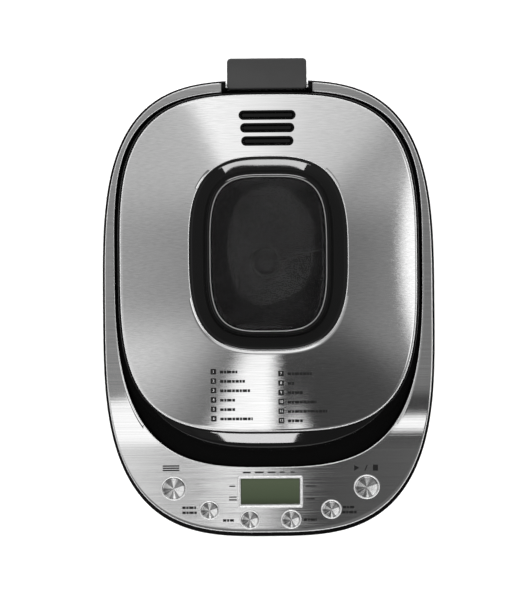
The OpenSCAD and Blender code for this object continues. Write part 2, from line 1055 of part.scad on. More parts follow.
module bearing_housing() {
    color([0.65, 0.65, 0.66])
    translate([0, oven_y, 0])
        difference() {
            union() {
                translate([0, 0, chassis_z + chassis_t])
                    cylinder(r = 22, h = 2.5);
                translate([0, 0, 47.5])
                    cylinder(r = 10.8, h = 16.3);
            }
            cylinder(r = bush_r + 0.03, h = 200);
            for (turn = [45:90:315])
                rotate([0, 0, turn])
                    translate([17, 0, 0])
                        cylinder(r = 1.8, h = 100);
        }
}

// Sintered bushes at both ends of the bearing housing.
module shaft_bushes() {
    color([0.72, 0.58, 0.34])
    for (z = [47.5, 55.8])
        translate([0, oven_y, z])
            difference() {
                cylinder(r = bush_r, h = 8);
                cylinder(r = shaft_r + 0.05, h = 60, center = true);
            }
}

module drive_shaft() {
    color(bright)
    translate([0, oven_y, 29])
        cylinder(r = shaft_r, h = 40);
}

module drive_coupler() {
    color([0.3, 0.3, 0.3])
    translate([0, oven_y, 0])
        difference() {
            union() {
                translate([0, 0, 66.6])
                    cylinder(r = 15, h = 3.8);
                intersection() {
                    translate([0, 0, 70])
                        difference() {
                            cylinder(r = 14.5, h = 6);
                            cylinder(r = 8, h = 20, center = true);
                        }
                    for (turn = [90, 270])
                        rotate([0, 0, turn])
                            block(0, 20, -6, 6, 60, 90);
                }
            }
            translate([0, 0, 60])
                cylinder(r = shaft_r + 0.02, h = 9.3);
        }
}

// Outline of a toothed pulley, with teeth that are cut inwards.
function toothed(r, teeth) = [
    for (i = [0:teeth - 1], k = [0:3])
        let (a = 360 * (i + [0.02, 0.45, 0.6, 0.87][k]) / teeth,
             d = k < 2 ? 0 : 1)
        [(r - d) * cos(a), (r - d) * sin(a)]];

module drive_pulley() {
    color([0.12, 0.12, 0.13])
    translate([0, oven_y, belt_z])
        difference() {
            union() {
                linear_extrude(belt_h) polygon(toothed(large_r, large_teeth));
                translate([0, 0, -2])
                    cylinder(r = 9, h = belt_h + 4);
            }
            for (z = [-1, 8.5])
                translate([0, 0, z])
                    difference() {
                        cylinder(r = large_r - 5, h = 4.5);
                        cylinder(r = 12, h = 40, center = true);
                    }
            for (turn = [0:60:300])
                rotate([0, 0, turn])
                    translate([26, 0, 0])
                        cylinder(r = 9, h = 60, center = true);
            cylinder(r = shaft_r + 0.02, h = 60, center = true);
        }
}

module belt_path(grow) {
    hull() {
        translate([0, oven_y]) circle(r = large_r + grow, $fn = 144);
        translate([0, motor_y]) circle(r = small_r + grow, $fn = 48);
    }
}

module drive_belt() {
    color([0.08, 0.08, 0.08])
    tall(belt_z + 1.5, belt_h - 3) difference() {
        belt_path(1.7);
        belt_path(0.25);
    }
}

module motor_frame() {
    color([0.7, 0.7, 0.68])
    translate([0, motor_y, 0]) {
        for (z = [56, 104])
            difference() {
                union() {
                    tall(z, 2) polygon(round_rect(68, 68, 8));
                    tall(z - (z > 90 ? 5 : 0), 7) circle(r = 8);
                }
                cylinder(r = 3.06, h = 200);
                for (x = [-18, 18])
                    translate([x, 0, z - 5])
                        cylinder(r = 8, h = 20);
            }
        for (x = [-27, 27], y = [-27, 27])
            translate([x, y, 0]) {
                translate([0, 0, 58])
                    cylinder(r = 2.4, h = 46);
                translate([0, 0, chassis_z + chassis_t])
                    cylinder(r = 5, h = 56 - chassis_z - chassis_t);
            }
    }
}

module motor_stator() {
    color([0.5, 0.5, 0.52])
    translate([0, motor_y, 0]) {
        difference() {
            tall(70, 22) polygon(round_rect(66, 66, 5));
            cylinder(r = 24.3, h = 200);
            for (x = [-27, 27], y = [-27, 27])
                translate([x, y, 0])
                    cylinder(r = 2.5, h = 200);
        }
        for (z = [61, 92])
            translate([0, 0, z])
                difference() {
                    cylinder(r = 31, h = 9);
                    cylinder(r = 26, h = 60, center = true);
                }
    }
}

module motor_rotor() {
    color(bright)
    translate([0, motor_y, 0]) {
        translate([0, 0, 30])
            cylinder(r = 3, h = 95);
        difference() {
            translate([0, 0, 68])
                cylinder(r = 23.8, h = 26);
            for (turn = [0:30:330])
                rotate([0, 0, turn])
                    translate([20, 0, 60])
                        cylinder(r = 1.5, h = 40);
        }
        translate([0, 0, belt_z])
            linear_extrude(belt_h)
                polygon(toothed(small_r, small_teeth));
    }
}

module motor_fan() {
    color([0.15, 0.15, 0.16])
    translate([0, motor_y, 110])
        difference() {
            union() {
                cylinder(r = 8, h = 12);
                cylinder(r = 33, h = 1.2);
                for (turn = [0:30:330])
                    rotate([0, 0, turn])
                        block(16, 33, -0.6, 0.6, 1, 12);
            }
            cylinder(r = 3.02, h = 60, center = true);
        }
}

// ---- Electrics ----

module power_board() {
    face = power_x;
    y0 = body_y - 2;
    color([0.05, 0.3, 0.12]) {
        block(face - 1.6, face, y0, y0 + 90, 12, 104);
        block(face, face + 14, y0 + 10, y0 + 30, 62, 78);
        block(face, face + 18, y0 + 44, y0 + 76, 58, 86);
        block(face, face + 9, y0 + 12, y0 + 34, 86, 98);
        translate([face + 8, y0 + 22, 48])
            rod(6, 16);
        translate([face + 3, y0 + 64, 48])
            rotate([90, 0, 0])
                cylinder(r = 3, h = 20, center = true);
    }
}

module wire_run(points, r) {
    for (i = [0:len(points) - 2])
        hull() {
            translate(points[i]) sphere(r = r, $fn = 16);
            translate(points[i + 1]) sphere(r = r, $fn = 16);
        }
}

module wiring() {
    // Panel lead, heater lead and supply lead
    color([0.6, 0.6, 0.62])
    wire_run([[-64, -148, 224], [-80, -118, 200], [-96, -58, 150], [-98, -18, 110],
              [-97, 14, 101]], 2);
    color([0.7, 0.15, 0.1])
    wire_run([[96.5, 19.5, 88], [99, 10, 62], [80, -46, 57], [-80, -46, 57], [-95, 4, 58],
              [-96, 24, 54]], 1.5);
    color([0.15, 0.25, 0.55])
    wire_run([[50, 142, 52], [-60, 142, 56], [-94, 98, 56], [-98, 66, 54]], 1.5);
}

module cord_gland() {
    color(black)
    translate([50, body_y + 165.5, 52])
        rotate([90, 0, 0])
            difference() {
                union() {
                    translate([0, 0, -2.5])
                        cylinder(r = 10, h = 2.4);
                    translate([0, 0, -1])
                        cylinder(r = 7, h = 14);
                    translate([0, 0, 10])
                        cylinder(r = 9, h = 3);
                }
                cylinder(r = 3.8, h = 60, center = true);
            }
}

base_tray();
rubber_feet();
body_shell();
top_deck();
steel_fascia();
deck_screws();
lid_cover();
lid_frame();
window_bezel();
window_glass_outer();
window_glass_inner();
window_gasket();
lid_vent_insert();
lid_liner();
lid_screws();
hinge_cover();
hinge_pin();
button_rings();
button_menu();
button_start();
button_size();
button_colour();
button_time_down();
button_time_up();
display_bezel();
display_lens();
display_module();
control_board();
tact_switches();
chassis_plate();
chassis_screws();
oven_chamber();
chamber_spacers();
heating_element();
heater_insulators();
heater_supports();
temperature_sensor();
thermal_fuse();
pan_holder();
pan_clips();
bread_pan();
pan_base();
pan_bush();
pan_ears();
pan_handle();
paddle_shaft();
kneading_paddle();
bearing_housing();
shaft_bushes();
drive_shaft();
drive_coupler();
drive_pulley();
drive_belt();
motor_frame();
motor_stator();
motor_rotor();
motor_fan();
power_board();
wiring();
cord_gland();
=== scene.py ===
import json
import math

import bmesh
import bpy
from mathutils import Matrix, Vector


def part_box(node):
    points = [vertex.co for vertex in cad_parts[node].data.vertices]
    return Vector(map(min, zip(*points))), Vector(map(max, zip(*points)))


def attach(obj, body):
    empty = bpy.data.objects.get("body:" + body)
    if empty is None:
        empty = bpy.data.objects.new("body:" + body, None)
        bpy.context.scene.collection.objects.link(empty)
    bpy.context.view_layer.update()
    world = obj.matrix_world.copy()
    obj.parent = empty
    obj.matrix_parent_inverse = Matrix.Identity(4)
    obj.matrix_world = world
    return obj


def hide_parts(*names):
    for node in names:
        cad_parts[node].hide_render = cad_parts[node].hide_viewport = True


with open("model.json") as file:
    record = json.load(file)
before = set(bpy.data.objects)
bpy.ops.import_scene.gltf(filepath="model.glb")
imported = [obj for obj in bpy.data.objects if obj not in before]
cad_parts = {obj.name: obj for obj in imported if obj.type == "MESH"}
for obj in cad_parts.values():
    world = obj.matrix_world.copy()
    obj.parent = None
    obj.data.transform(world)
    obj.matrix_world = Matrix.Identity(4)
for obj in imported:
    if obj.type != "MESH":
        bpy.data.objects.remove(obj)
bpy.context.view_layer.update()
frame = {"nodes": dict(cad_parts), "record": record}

# ---------------------------------------------------------------- sizes, in metres
MM = 0.001
AROUND = 288  # points round an outline

# Outlines: half width, rear and front half depth, rear and front fullness
BODY_Y = -8.5 * MM
BODY = (125 * MM, 173 * MM, 173 * MM, 3.38, 3.15)
FASCIA = (123.6 * MM, 172 * MM, 170 * MM, 3.38, 3.15)
RECESS_Y = BODY_Y + 41 * MM
RECESS = (115.7 * MM, 123.5 * MM, 160 * MM, 3.3, 3.2)
LID_Y = BODY_Y + 37.3 * MM
LID = (111.4 * MM, 124.2 * MM, 128.8 * MM, 3.3, 3.45)
LIP = (112.6 * MM, 125.7 * MM, 143.5 * MM, 3.3, 2.7)
WINDOW_Y = BODY_Y + 42 * MM
BEZEL = (59.5 * MM, 72.8 * MM, 72.8 * MM, 2.95, 2.95)
VIEW = (46 * MM, 60.3 * MM, 60.3 * MM, 3.6, 3.6)
OVEN_Y = BODY_Y + 40 * MM

# Heights
DECK_Z = 262 * MM
CROWN_Z = 282 * MM
CROWN_R = 0.9
LEDGE_Z = 246 * MM
GRIP_Z = 238 * MM
POCKET_Z = 234.5 * MM
TRAY_Z = 6 * MM
TRAY_TOP = 32 * MM
CLEAR_Z = 300 * MM  # above everything, for cutters
SEAM_DROP = 30 * MM
LINER_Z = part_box("lid_liner")[0][2]

# Control panel
TILT = math.radians(17)
BEND_Y = -53 * MM
PANEL_Y = -113 * MM
BEND_R = (BEND_Y - PANEL_Y) / math.sin(TILT)
PANEL_Z = DECK_Z - BEND_R * (1 - math.cos(TILT))
HINGE_Y = BODY_Y + 168 * MM
HINGE_Z = 260 * MM
SHEET = 0.8 * MM
LARGE_R = 8.35 * MM
SMALL_R = 6.3 * MM
BUTTONS = {
    "menu": (-73.2 * MM, -135 * MM, LARGE_R),
    "start": (73.2 * MM, -135 * MM, LARGE_R),
    "size": (-46.3 * MM, -152.1 * MM, SMALL_R),
    "colour": (46.3 * MM, -152.1 * MM, SMALL_R),
    "time_down": (-15.7 * MM, -159.7 * MM, SMALL_R),
    "time_up": (15.7 * MM, -159.7 * MM, SMALL_R),
}
DISPLAY_AT = -138.2 * MM
DISPLAY_W = 49.6 * MM
DISPLAY_D = 26 * MM
VENTS = ((145.8 * MM, 42.8 * MM), (136.2 * MM, 40.7 * MM), (126.3 * MM, 39.2 * MM))
SLOT_W = 7.3 * MM
CHEEK_IN = 31 * MM
CHEEK_OUT = 34.3 * MM


# ---------------------------------------------------------------- outlines and surfaces
def signed_power(v, e):
    return math.copysign(abs(v) ** e, v)


def oval(shape, centre_y, grow=0.0, count=AROUND):
    """Closed outline, counter-clockwise from +X, with its own fullness at the rear and the front."""
    half, rear, front, rear_n, front_n = shape
    points = []
    for i in range(count):
        t = 2 * math.pi * i / count
        c, s = math.cos(t), math.sin(t)
        e = 2 / (rear_n if s >= 0 else front_n)
        depth = (rear if s >= 0 else front) + grow
        points.append((signed_power(c, e) * (half + grow), centre_y + signed_power(s, e) * depth))
    return points


def round_rect(w, d, r, centre=(0.0, 0.0), count=AROUND):
    """Rectangle with round corners whose points match an oval's, going round by angle."""
    points = []
    for k in range(4):
        sx = 1 if k in (0, 3) else -1
        sy = 1 if k < 2 else -1
        steps = count // 4
        for i in range(steps):
            a = math.pi / 2 * (k + i / (steps - 1))
            points.append((centre[0] + sx * (w / 2 - r) + r * math.cos(a),
                           centre[1] + sy * (d / 2 - r) + r * math.sin(a)))
    return points


def circle(r, count=64):
    """Outline of a circle about the origin."""
    turns = [2 * math.pi * i / count for i in range(count)]
    return [(r * math.cos(a), r * math.sin(a)) for a in turns]


def deck_height(y):
    """Height of the deck's surface: flat, then an arc, then the sloping panel."""
    d = y - BODY_Y
    if d > BEND_Y:
        return DECK_Z
    if d > PANEL_Y:
        return DECK_Z - BEND_R + math.sqrt(BEND_R ** 2 - (BEND_Y - d) ** 2)
    return PANEL_Z - (PANEL_Y - d) * math.tan(TILT)


def deck_surface(x, y):
    return deck_height(y)


def crown_height(x, y):
    """Height of the lid's domed surface."""
    return CROWN_Z - CROWN_R + math.sqrt(CROWN_R ** 2 - x ** 2 - (y - LID_Y) ** 2)


def over(surface, lift):
    """A surface raised by a lift, as a function of x and y."""
    return lambda x, y: surface(x, y) + lift


def panel_matrix(x, distance):
    """Places a piece on the control panel: z = 0 is its surface, y runs up the slope."""
    y = BODY_Y + distance
    return Matrix.Translation((x, y, deck_height(y))) @ Matrix.Rotation(TILT, 4, "X")


def mix(a, b, f):
    return a + (b - a) * f


def between(p, q, f):
    return tuple(mix(a, b, f) for a, b in zip(p, q))


def in_mm(rows):
    """Rows of numbers given in millimetres."""
    return [tuple(v * MM for v in row) for row in rows]


# ---------------------------------------------------------------- meshes
def new_object(name, mesh):
    obj = bpy.data.objects.new(name, mesh)
    bpy.context.scene.collection.objects.link(obj)
    return obj


def finish_mesh(name, bm, smooth=35):
    """Writes a bmesh to a new object, smooth except at edges sharper than the angle."""
    bmesh.ops.remove_doubles(bm, verts=bm.verts, dist=1e-7)
    bmesh.ops.recalc_face_normals(bm, faces=bm.faces)
    mesh = bpy.data.meshes.new(name)
    bm.to_mesh(mesh)
    bm.free()
    obj = new_object(name, mesh)
    shade(obj, smooth)
    return obj


def shade(obj, angle=35):
    mesh = obj.data
    mesh.polygons.foreach_set("use_smooth", [True] * len(mesh.polygons))
    mesh.set_sharp_from_angle(angle=math.radians(angle))


def loft(name, loops, ring=False, cap_first=False, cap_last=False, smooth=35):
    """Skins loops of equal length, closing the section when ring is true."""
    bm = bmesh.new()
    rows = [[bm.verts.new(p) for p in loop] for loop in loops]
    pairs = list(zip(rows, rows[1:]))
    if ring:
        pairs.append((rows[-1], rows[0]))
    for a, b in pairs:
        for i in range(len(a)):
            j = (i + 1) % len(a)
            bm.faces.new((a[i], a[j], b[j], b[i]))
    if cap_first:
        bm.faces.new(rows[0])
    if cap_last:
        bm.faces.new(rows[-1])
    return finish_mesh(name, bm, smooth)


def at_height(points, z):
    """Gives an outline its heights: a number, or a function of x and y."""
    return [(x, y, z(x, y) if callable(z) else z) for x, y in points]


def rings(shape, centre_y, rows):
    """Loops of an oval, from rows of (growth in mm, height)."""
    return [at_height(oval(shape, centre_y, grow * MM), z) for grow, z in rows]


def scaled(loop, centre_y, f, lift=0.0):
    """A loop scaled in plan about its centre and raised."""
    return [(x * f, centre_y + (y - centre_y) * f, z + lift) for x, y, z in loop]


def lathe(name, profile, matrix, count=96, smooth=35):
    """Turns a profile of (radius, height) about z; a radius of 0 closes it."""
    bm = bmesh.new()
    rows = []
    for r, z in profile:
        if r <= 0:
            rows.append([bm.verts.new((0, 0, z))])
        else:
            rows.append([bm.verts.new((x, y, z)) for x, y in circle(r, count)])
    for a, b in zip(rows, rows[1:]):
        for i in range(count):
            j = (i + 1) % count
            corners = [a[i % len(a)], a[j % len(a)], b[j % len(b)], b[i % len(b)]]
            unique = list(dict.fromkeys(corners))
            if len(unique) > 2:
                bm.faces.new(unique)
    obj = finish_mesh(name, bm, smooth)
    obj.matrix_world = matrix
    return obj


def prism(name, outline, z0, z1, matrix=None):
    """Straight extrusion of an outline, used as a cutter."""
    obj = loft(name, [at_height(outline, z0), at_height(outline, z1)], cap_first=True, cap_last=True)
    if matrix is not None:
        obj.data.transform(matrix)
    return obj


def cut(obj, cutters):
    """Takes the cutters out of the object and deletes them."""
    for cutter in cutters:
        mod = obj.modifiers.new("cut", "BOOLEAN")
        mod.operation = "DIFFERENCE"
        mod.solver = "EXACT"
        mod.object = cutter
    apply_modifiers(obj)
    for cutter in cutters:
        bpy.data.objects.remove(cutter)


def apply_modifiers(obj):
    depsgraph = bpy.context.evaluated_depsgraph_get()
    mesh = bpy.data.meshes.new_from_object(obj.evaluated_get(depsgraph))
    obj.modifiers.clear()
    obj.data = mesh


def bevel(obj, width, segments=2, angle=40):
    mod = obj.modifiers.new("bevel", "BEVEL")
    mod.width = width
    mod.segments = segments
    mod.limit_method = "ANGLE"
    mod.angle_limit = math.radians(angle)
    mod.use_clamp_overlap = True
    apply_modifiers(obj)
    shade(obj)


def join(name, objects):
    """Joins objects into the first, which takes the name."""
    bpy.context.view_layer.update()
    bm = bmesh.new()
    for obj in objects:
        part = obj.data.copy()
        part.transform(obj.matrix_world)
        bm.from_mesh(part)
        bpy.data.meshes.remove(part)
        bpy.data.objects.remove(obj)
    mesh = bpy.data.meshes.new(name)
    bm.to_mesh(mesh)
    bm.free()
    obj = new_object(name, mesh)
    shade(obj)
    return obj


def grain_uv(obj):
    """UVs whose u runs across the brushing, so that highlights spread across it."""
    layer = obj.data.uv_layers.new(name="grain")
    for loop in obj.data.loops:
        co = obj.data.vertices[loop.vertex_index].co
        layer.data[loop.index].uv = (co.y * 4, -co.x * 4)


def dress(obj, mat, body, slot, *nodes):
    """Gives a piece its material and body, and hides the CAD nodes that it stands for. The slot is not used.
    """
    obj.data.materials.clear()
    obj.data.materials.append(mat)
    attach(obj, body)
    if nodes:
        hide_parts(*nodes)
    return obj


# ---------------------------------------------------------------- materials
def add_node(tree, kind, inputs=None, **attributes):
    """New node with its attributes set, and its inputs linked or given values."""
    node = tree.nodes.new(kind)
    for key, value in attributes.items():
        setattr(node, key, value)
    for key, value in (inputs or {}).items():
        if hasattr(value, "is_output"):
            tree.links.new(value, node.inputs[key])
        else:
            node.inputs[key].default_value = value
    return node


def add_ramp(tree, fac, stops):
    """Colour along a value, given as (position, colour) stops."""
    node = add_node(tree, "ShaderNodeValToRGB", {"Fac": fac})
    elements = node.color_ramp.elements
    while len(elements) < len(stops):
        elements.new(0.5)
    for element, (place, color) in zip(elements, stops):
        element.position = place
        element.color = (*color, 1.0)
    return node.outputs["Color"]


class Maker:
    """Short helper for building a node material on one Principled shader."""

    def __init__(self, name, color, roughness, metallic=0.0):
        self.mat = bpy.data.materials.new(name)
        self.mat.use_nodes = True
        self.tree = self.mat.node_tree
        self.bsdf = self.tree.nodes["Principled BSDF"]
        self.set(base_color=(*color, 1.0), roughness=roughness, metallic=metallic)
        self.coords = self.add("ShaderNodeTexCoord").outputs["Object"]

    def set(self, **values):
        for key, value in values.items():
            self.bsdf.inputs[key.replace("_", " ").title().replace("Ior", "IOR")].default_value = value

    def add(self, kind, inputs=None, **attributes):
        return add_node(self.tree, kind, inputs, **attributes)

    def link(self, output, name):
        self.tree.links.new(output, self.bsdf.inputs[name])

    def noise(self, scale, detail, stretch=(1, 1, 1)):
        place = self.add("ShaderNodeMapping", {"Vector": self.coords, "Scale": stretch})
        return self.add("ShaderNodeTexNoise", {"Vector": place.outputs[0], "Scale": scale,
                                               "Detail": detail, "Roughness": 0.55}).outputs["Fac"]

    def ramp(self, fac, stops):
        return add_ramp(self.tree, fac, stops)

    def range(self, fac, low, high):
        return self.add("ShaderNodeMapRange", {"Value": fac, "To Min": low, "To Max": high}).outputs[0]

    def bump(self, height, strength, distance):
        node = self.add("ShaderNodeBump", {"Height": height, "Strength": strength, "Distance": distance})
        self.link(node.outputs[0], "Normal")


def gray(v):
    return (v, v, v)


def brushed_steel(name):
    """Steel sheet with fine scratches that all run left to right."""
    tone, rough = 0.62, 0.06
    m = Maker(name, gray(tone), rough, 1.0)
    fine = m.noise(1.0, 2.0, (3, 2400, 2400))
    m.link(m.ramp(fine, [(0.3, gray(tone * 0.88)), (0.52, gray(tone)), (0.75, gray(tone * 1.1))]),
           "Base Color")
    m.link(m.range(m.noise(14, 2.0), rough - 0.01, rough + 0.01), "Roughness")
    m.bump(fine, 0.2, 0.00005)
    m.set(anisotropic=0.95)
    tangent = m.add("ShaderNodeTangent", direction_type="UV_MAP", uv_map="grain")
    m.link(tangent.outputs[0], "Tangent")
    return m.mat


def gloss_black(name, tone=0.002, rough=0.035, specular=0.1):
    """Polished black moulding with faint ripple and uneven gloss."""
    m = Maker(name, gray(tone), rough)
    m.link(m.range(m.noise(2600, 1.0), rough, rough + 0.02), "Roughness")
    m.bump(m.noise(28, 2.0), 0.02, 0.0003)
    m.set(specular_ior_level=specular)
    return m.mat


def matte_plastic(name, tone, rough, grain=0.25):
    """Moulded plastic with a fine spark-eroded texture."""
    m = Maker(name, gray(tone), rough)
    texture = m.noise(2400, 2.0)
    cloudy = m.noise(30, 3.0)
    m.link(m.ramp(cloudy, [(0.3, gray(tone * 0.9)), (0.7, gray(tone * 1.12))]), "Base Color")
    m.link(m.range(texture, rough - 0.06, rough + 0.1), "Roughness")
    m.bump(texture, grain, 0.0001)
    return m.mat


def spun_metal(name):
    """Metal brushed outwards from the centre, with fine radial grain streaks, and bright and dark wedges
    round the centre painted into its colour as painted highlight and shade.
    """
    m = Maker(name, gray(0.62), 0.2, 1.0)
    flat = m.add("ShaderNodeVectorMath", {0: m.coords, 1: (1, 1, 0)}, operation="MULTIPLY").outputs[0]
    around = m.add("ShaderNodeVectorMath", {0: flat}, operation="NORMALIZE").outputs[0]
    # Painted highlight and shade: broad bright and dark wedges by angle round the centre stand in for the
    # spun finish's reflections.
    painted_glint_wedges = m.add("ShaderNodeTexNoise", {"Vector": around, "Scale": 1.7, "Detail": 1.0}).outputs["Fac"]
    fine = m.add("ShaderNodeTexNoise", {"Vector": around, "Scale": 40.0, "Detail": 2.0}).outputs["Fac"]
    grain_and_painted_wedges = m.add("ShaderNodeMath", {0: fine, 1: 0.18, 2: painted_glint_wedges}, operation="MULTIPLY_ADD").outputs[0]
    # Colour: fine radial grain plus the painted highlight and shade wedges.
    m.link(m.ramp(grain_and_painted_wedges, [(0.5, gray(0.3)), (0.56, gray(0.75)), (0.62, gray(0.98))]), "Base Color")
    m.link(m.range(fine, 0.16, 0.26), "Roughness")
    m.bump(fine, 0.08, 0.0001)
    m.set(anisotropic=0.8, anisotropic_rotation=0.25)
    tangent = m.add("ShaderNodeTangent", direction_type="RADIAL", axis="Z")
    m.link(tangent.outputs[0], "Tangent")
    return m.mat


def satin_metal(name, tone, rough, metallic=1.0):
    """Plain drawn, cast or plated metal with slight mottling."""
    m = Maker(name, gray(tone), rough, metallic)
    cloudy = m.noise(500, 3.0)
    m.link(m.ramp(cloudy, [(0.3, gray(tone * 0.88)), (0.7, gray(tone * 1.08))]), "Base Color")
    m.link(m.range(cloudy, rough - 0.06, rough + 0.08), "Roughness")
    m.bump(cloudy, 0.06, 0.0001)
    return m.mat


def nonstick(name):
    """Dark coating with pale specks."""
    m = Maker(name, gray(0.03), 0.35)
    specks = m.noise(1500, 1.0)
    m.link(m.ramp(specks, [(0.62, gray(0.022)), (0.72, gray(0.05))]), "Base Color")
    m.bump(m.noise(900, 2.0), 0.04, 0.0001)
    m.set(metallic=0.25)
    return m.mat


def clear_glass(name):
    """Heat-resistant glass with a slight smoke tint and gentle ripple."""
    m = Maker(name, gray(0.36), 0.015)
    m.set(transmission_weight=1.0, ior=1.2)
    m.bump(m.noise(18, 1.0), 0.02, 0.0003)
    return m.mat


def display_face(name):
    """Blank grey-green display with painted shade from its frame: darker towards its lower edge, and a little
    darker along its top edge.
    """
    m = Maker(name, (0.032, 0.04, 0.024), 0.3)
    split = m.add("ShaderNodeSeparateXYZ", {0: m.coords})
    height = m.add("ShaderNodeMapRange", {"Value": split.outputs["Y"], "From Min": -DISPLAY_D / 2,
                                          "From Max": DISPLAY_D / 2}).outputs[0]
    # Painted shade: the colour darkens towards the lower edge and slightly at the top edge, standing in for
    # the frame's shadow on the face.
    m.link(m.ramp(height, [(0.1, (0.016, 0.02, 0.012)), (0.3, (0.026, 0.034, 0.02)),
                           (0.8, (0.034, 0.043, 0.026)), (0.95, (0.027, 0.034, 0.02))]), "Base Color")
    m.bump(m.noise(1600, 1.0), 0.05, 0.00005)
    m.set(specular_ior_level=0.1)
    return m.mat


def speckled(name, color, rough, scale=900, metallic=0.0):
    """Any plain part: colour and gloss vary a little, with a fine surface texture."""
    m = Maker(name, color, rough, metallic)
    mottle = m.noise(scale / 12, 3.0)
    m.link(m.ramp(mottle, [(0.3, tuple(c * 0.86 for c in color)), (0.7, tuple(c * 1.1 for c in color))]),
           "Base Color")
    grain = m.noise(scale, 2.0)
    m.link(m.range(grain, max(0.05, rough - 0.07), rough + 0.08), "Roughness")
    m.bump(grain, 0.15, 0.0001)
    return m.mat


def circuit_board(name):
    """Green solder resist over faint copper tracks."""
    m = Maker(name, (0.01, 0.07, 0.03), 0.35)
    tracks = m.add("ShaderNodeTexVoronoi", {"Vector": m.coords, "Scale": 160.0}, distance="MANHATTAN",
                   feature="F1").outputs["Distance"]
    m.link(m.ramp(tracks, [(0.42, (0.012, 0.085, 0.035)), (0.5, (0.03, 0.14, 0.05)),
                           (0.55, (0.008, 0.055, 0.024))]), "Base Color")
    m.bump(tracks, 0.2, 0.0001)
    return m.mat


def stacked_sheet(name):
    """Thin laminations pressed into a stack."""
    m = Maker(name, gray(0.28), 0.4, 1.0)
    wave = m.add("ShaderNodeTexWave", {"Vector": m.coords, "Scale": 320.0, "Distortion": 0.4},
                 wave_type="BANDS", bands_direction="Z").outputs["Fac"]
    m.link(m.ramp(wave, [(0.2, gray(0.12)), (0.6, gray(0.34))]), "Base Color")
    m.bump(wave, 0.4, 0.0002)
    return m.mat


def print_ink(name):
    m = Maker(name, gray(0.006), 0.5)
    m.link(m.range(m.noise(3000, 1.0), 0.45, 0.6), "Roughness")
    m.set(specular_ior_level=0.1)
    return m.mat


STEEL = brushed_steel("lid_steel")
GLOSS = gloss_black("gloss_black")
DECK = gloss_black("deck_black", 0.0012, 0.12, 0.06)
HOUSING = matte_plastic("housing_black", 0.012, 0.42)
TAB = matte_plastic("hinge_grey", 0.016, 0.55, 0.3)
RUBBER = matte_plastic("foot_rubber", 0.012, 0.75, 0.4)
SPUN = spun_metal("spun_button")
SILVER = satin_metal("silver_trim", 0.76, 0.2, metallic=0.75)
GLASS = clear_glass("window_glass")
RIM = satin_metal("glass_edge", 0.32, 0.14, metallic=0.8)
INK = print_ink("legend_ink")
ZINC = speckled("zinc_plate", (0.5, 0.5, 0.47), 0.32, 700, 1.0)
BRIGHT = satin_metal("drawn_steel", 0.62, 0.2)
LINER = satin_metal("satin_aluminium", 0.5, 0.34)
CHAMBER = speckled("aluminised_sheet", (0.3, 0.3, 0.285), 0.38, 600, 1.0)
PAN_COAT = nonstick("non_stick")
PAN_METAL = speckled("cast_aluminium", (0.46, 0.46, 0.46), 0.4, 1100, 1.0)
BLACK_PART = matte_plastic("black_part", 0.016, 0.45)
CERAMIC = speckled("ceramic", (0.66, 0.62, 0.52), 0.7, 900)
BRONZE = speckled("sintered_bronze", (0.42, 0.25, 0.09), 0.38, 1500, 1.0)
BELT = matte_plastic("belt_rubber", 0.014, 0.7, 0.5)
DRIVE_PLASTIC = matte_plastic("drive_plastic", 0.03, 0.5, 0.4)
LAMINATIONS = stacked_sheet("laminations")
HEATER = speckled("heater_sheath", (0.085, 0.08, 0.075), 0.5, 800, 0.8)
GASKET = matte_plastic("silicone", 0.02, 0.6, 0.3)
BOARD = circuit_board("circuit_board")
WIRE = speckled("wire_insulation", (0.2, 0.022, 0.015), 0.45, 1200)

SLOT_MATERIALS = {
    "housing": HOUSING, "deck": DECK, "steel": STEEL, "gloss_black": GLOSS, "hinge_plastic": TAB,
    "glass": GLASS, "gasket": GASKET, "liner": LINER, "zinc": ZINC, "button_metal": SPUN,
    "silver": SILVER, "display_glass": BLACK_PART, "display": BLACK_PART, "board": BOARD,
    "black_part": BLACK_PART, "rubber": RUBBER, "chamber": CHAMBER, "heater": HEATER,
    "ceramic": CERAMIC, "pan_coat": PAN_COAT, "pan_metal": PAN_METAL, "bright_steel": BRIGHT,
    "bronze": BRONZE, "belt": BELT, "drive_plastic": DRIVE_PLASTIC, "laminations": LAMINATIONS,
    "wire": WIRE,
}


def dress_cad_nodes():
    """Gives every CAD node its own finish in place of the plain one."""
    slots = {part["node"]: part["material_slot"] for part in frame["record"]["subparts"]}
    for name, obj in frame["nodes"].items():
        for material_slot in obj.material_slots:
            material_slot.material = SLOT_MATERIALS[slots[name]]


# ---------------------------------------------------------------- camera, floor and light
def make_camera():
    field_width = 399.843 * MM  # seen across the deck
    height = 2.2  # above the deck
    data = bpy.data.cameras.new("camera")
    data.sensor_fit = "HORIZONTAL"
    data.sensor_width = 36
    data.lens = data.sensor_width * height / field_width
    camera = new_object("camera", data)
    camera.location = (-2.4 * MM, -1.2 * MM, DECK_Z + height)
    camera.rotation_euler = (0, 0, math.radians(-0.5))
    bpy.context.scene.camera = camera


def make_floor():
    bm = bmesh.new()
    bmesh.ops.create_grid(bm, x_segments=2, y_segments=2, size=6)
    floor = finish_mesh("floor", bm)
    m = Maker("floor_paper", gray(0.9), 0.9)
    m.link(m.ramp(m.noise(3, 2.0), [(0.3, gray(0.89)), (0.7, gray(0.91))]), "Base Color")
    floor.data.materials.append(m.mat)


SKY = 1.6  # brightest level in the sky


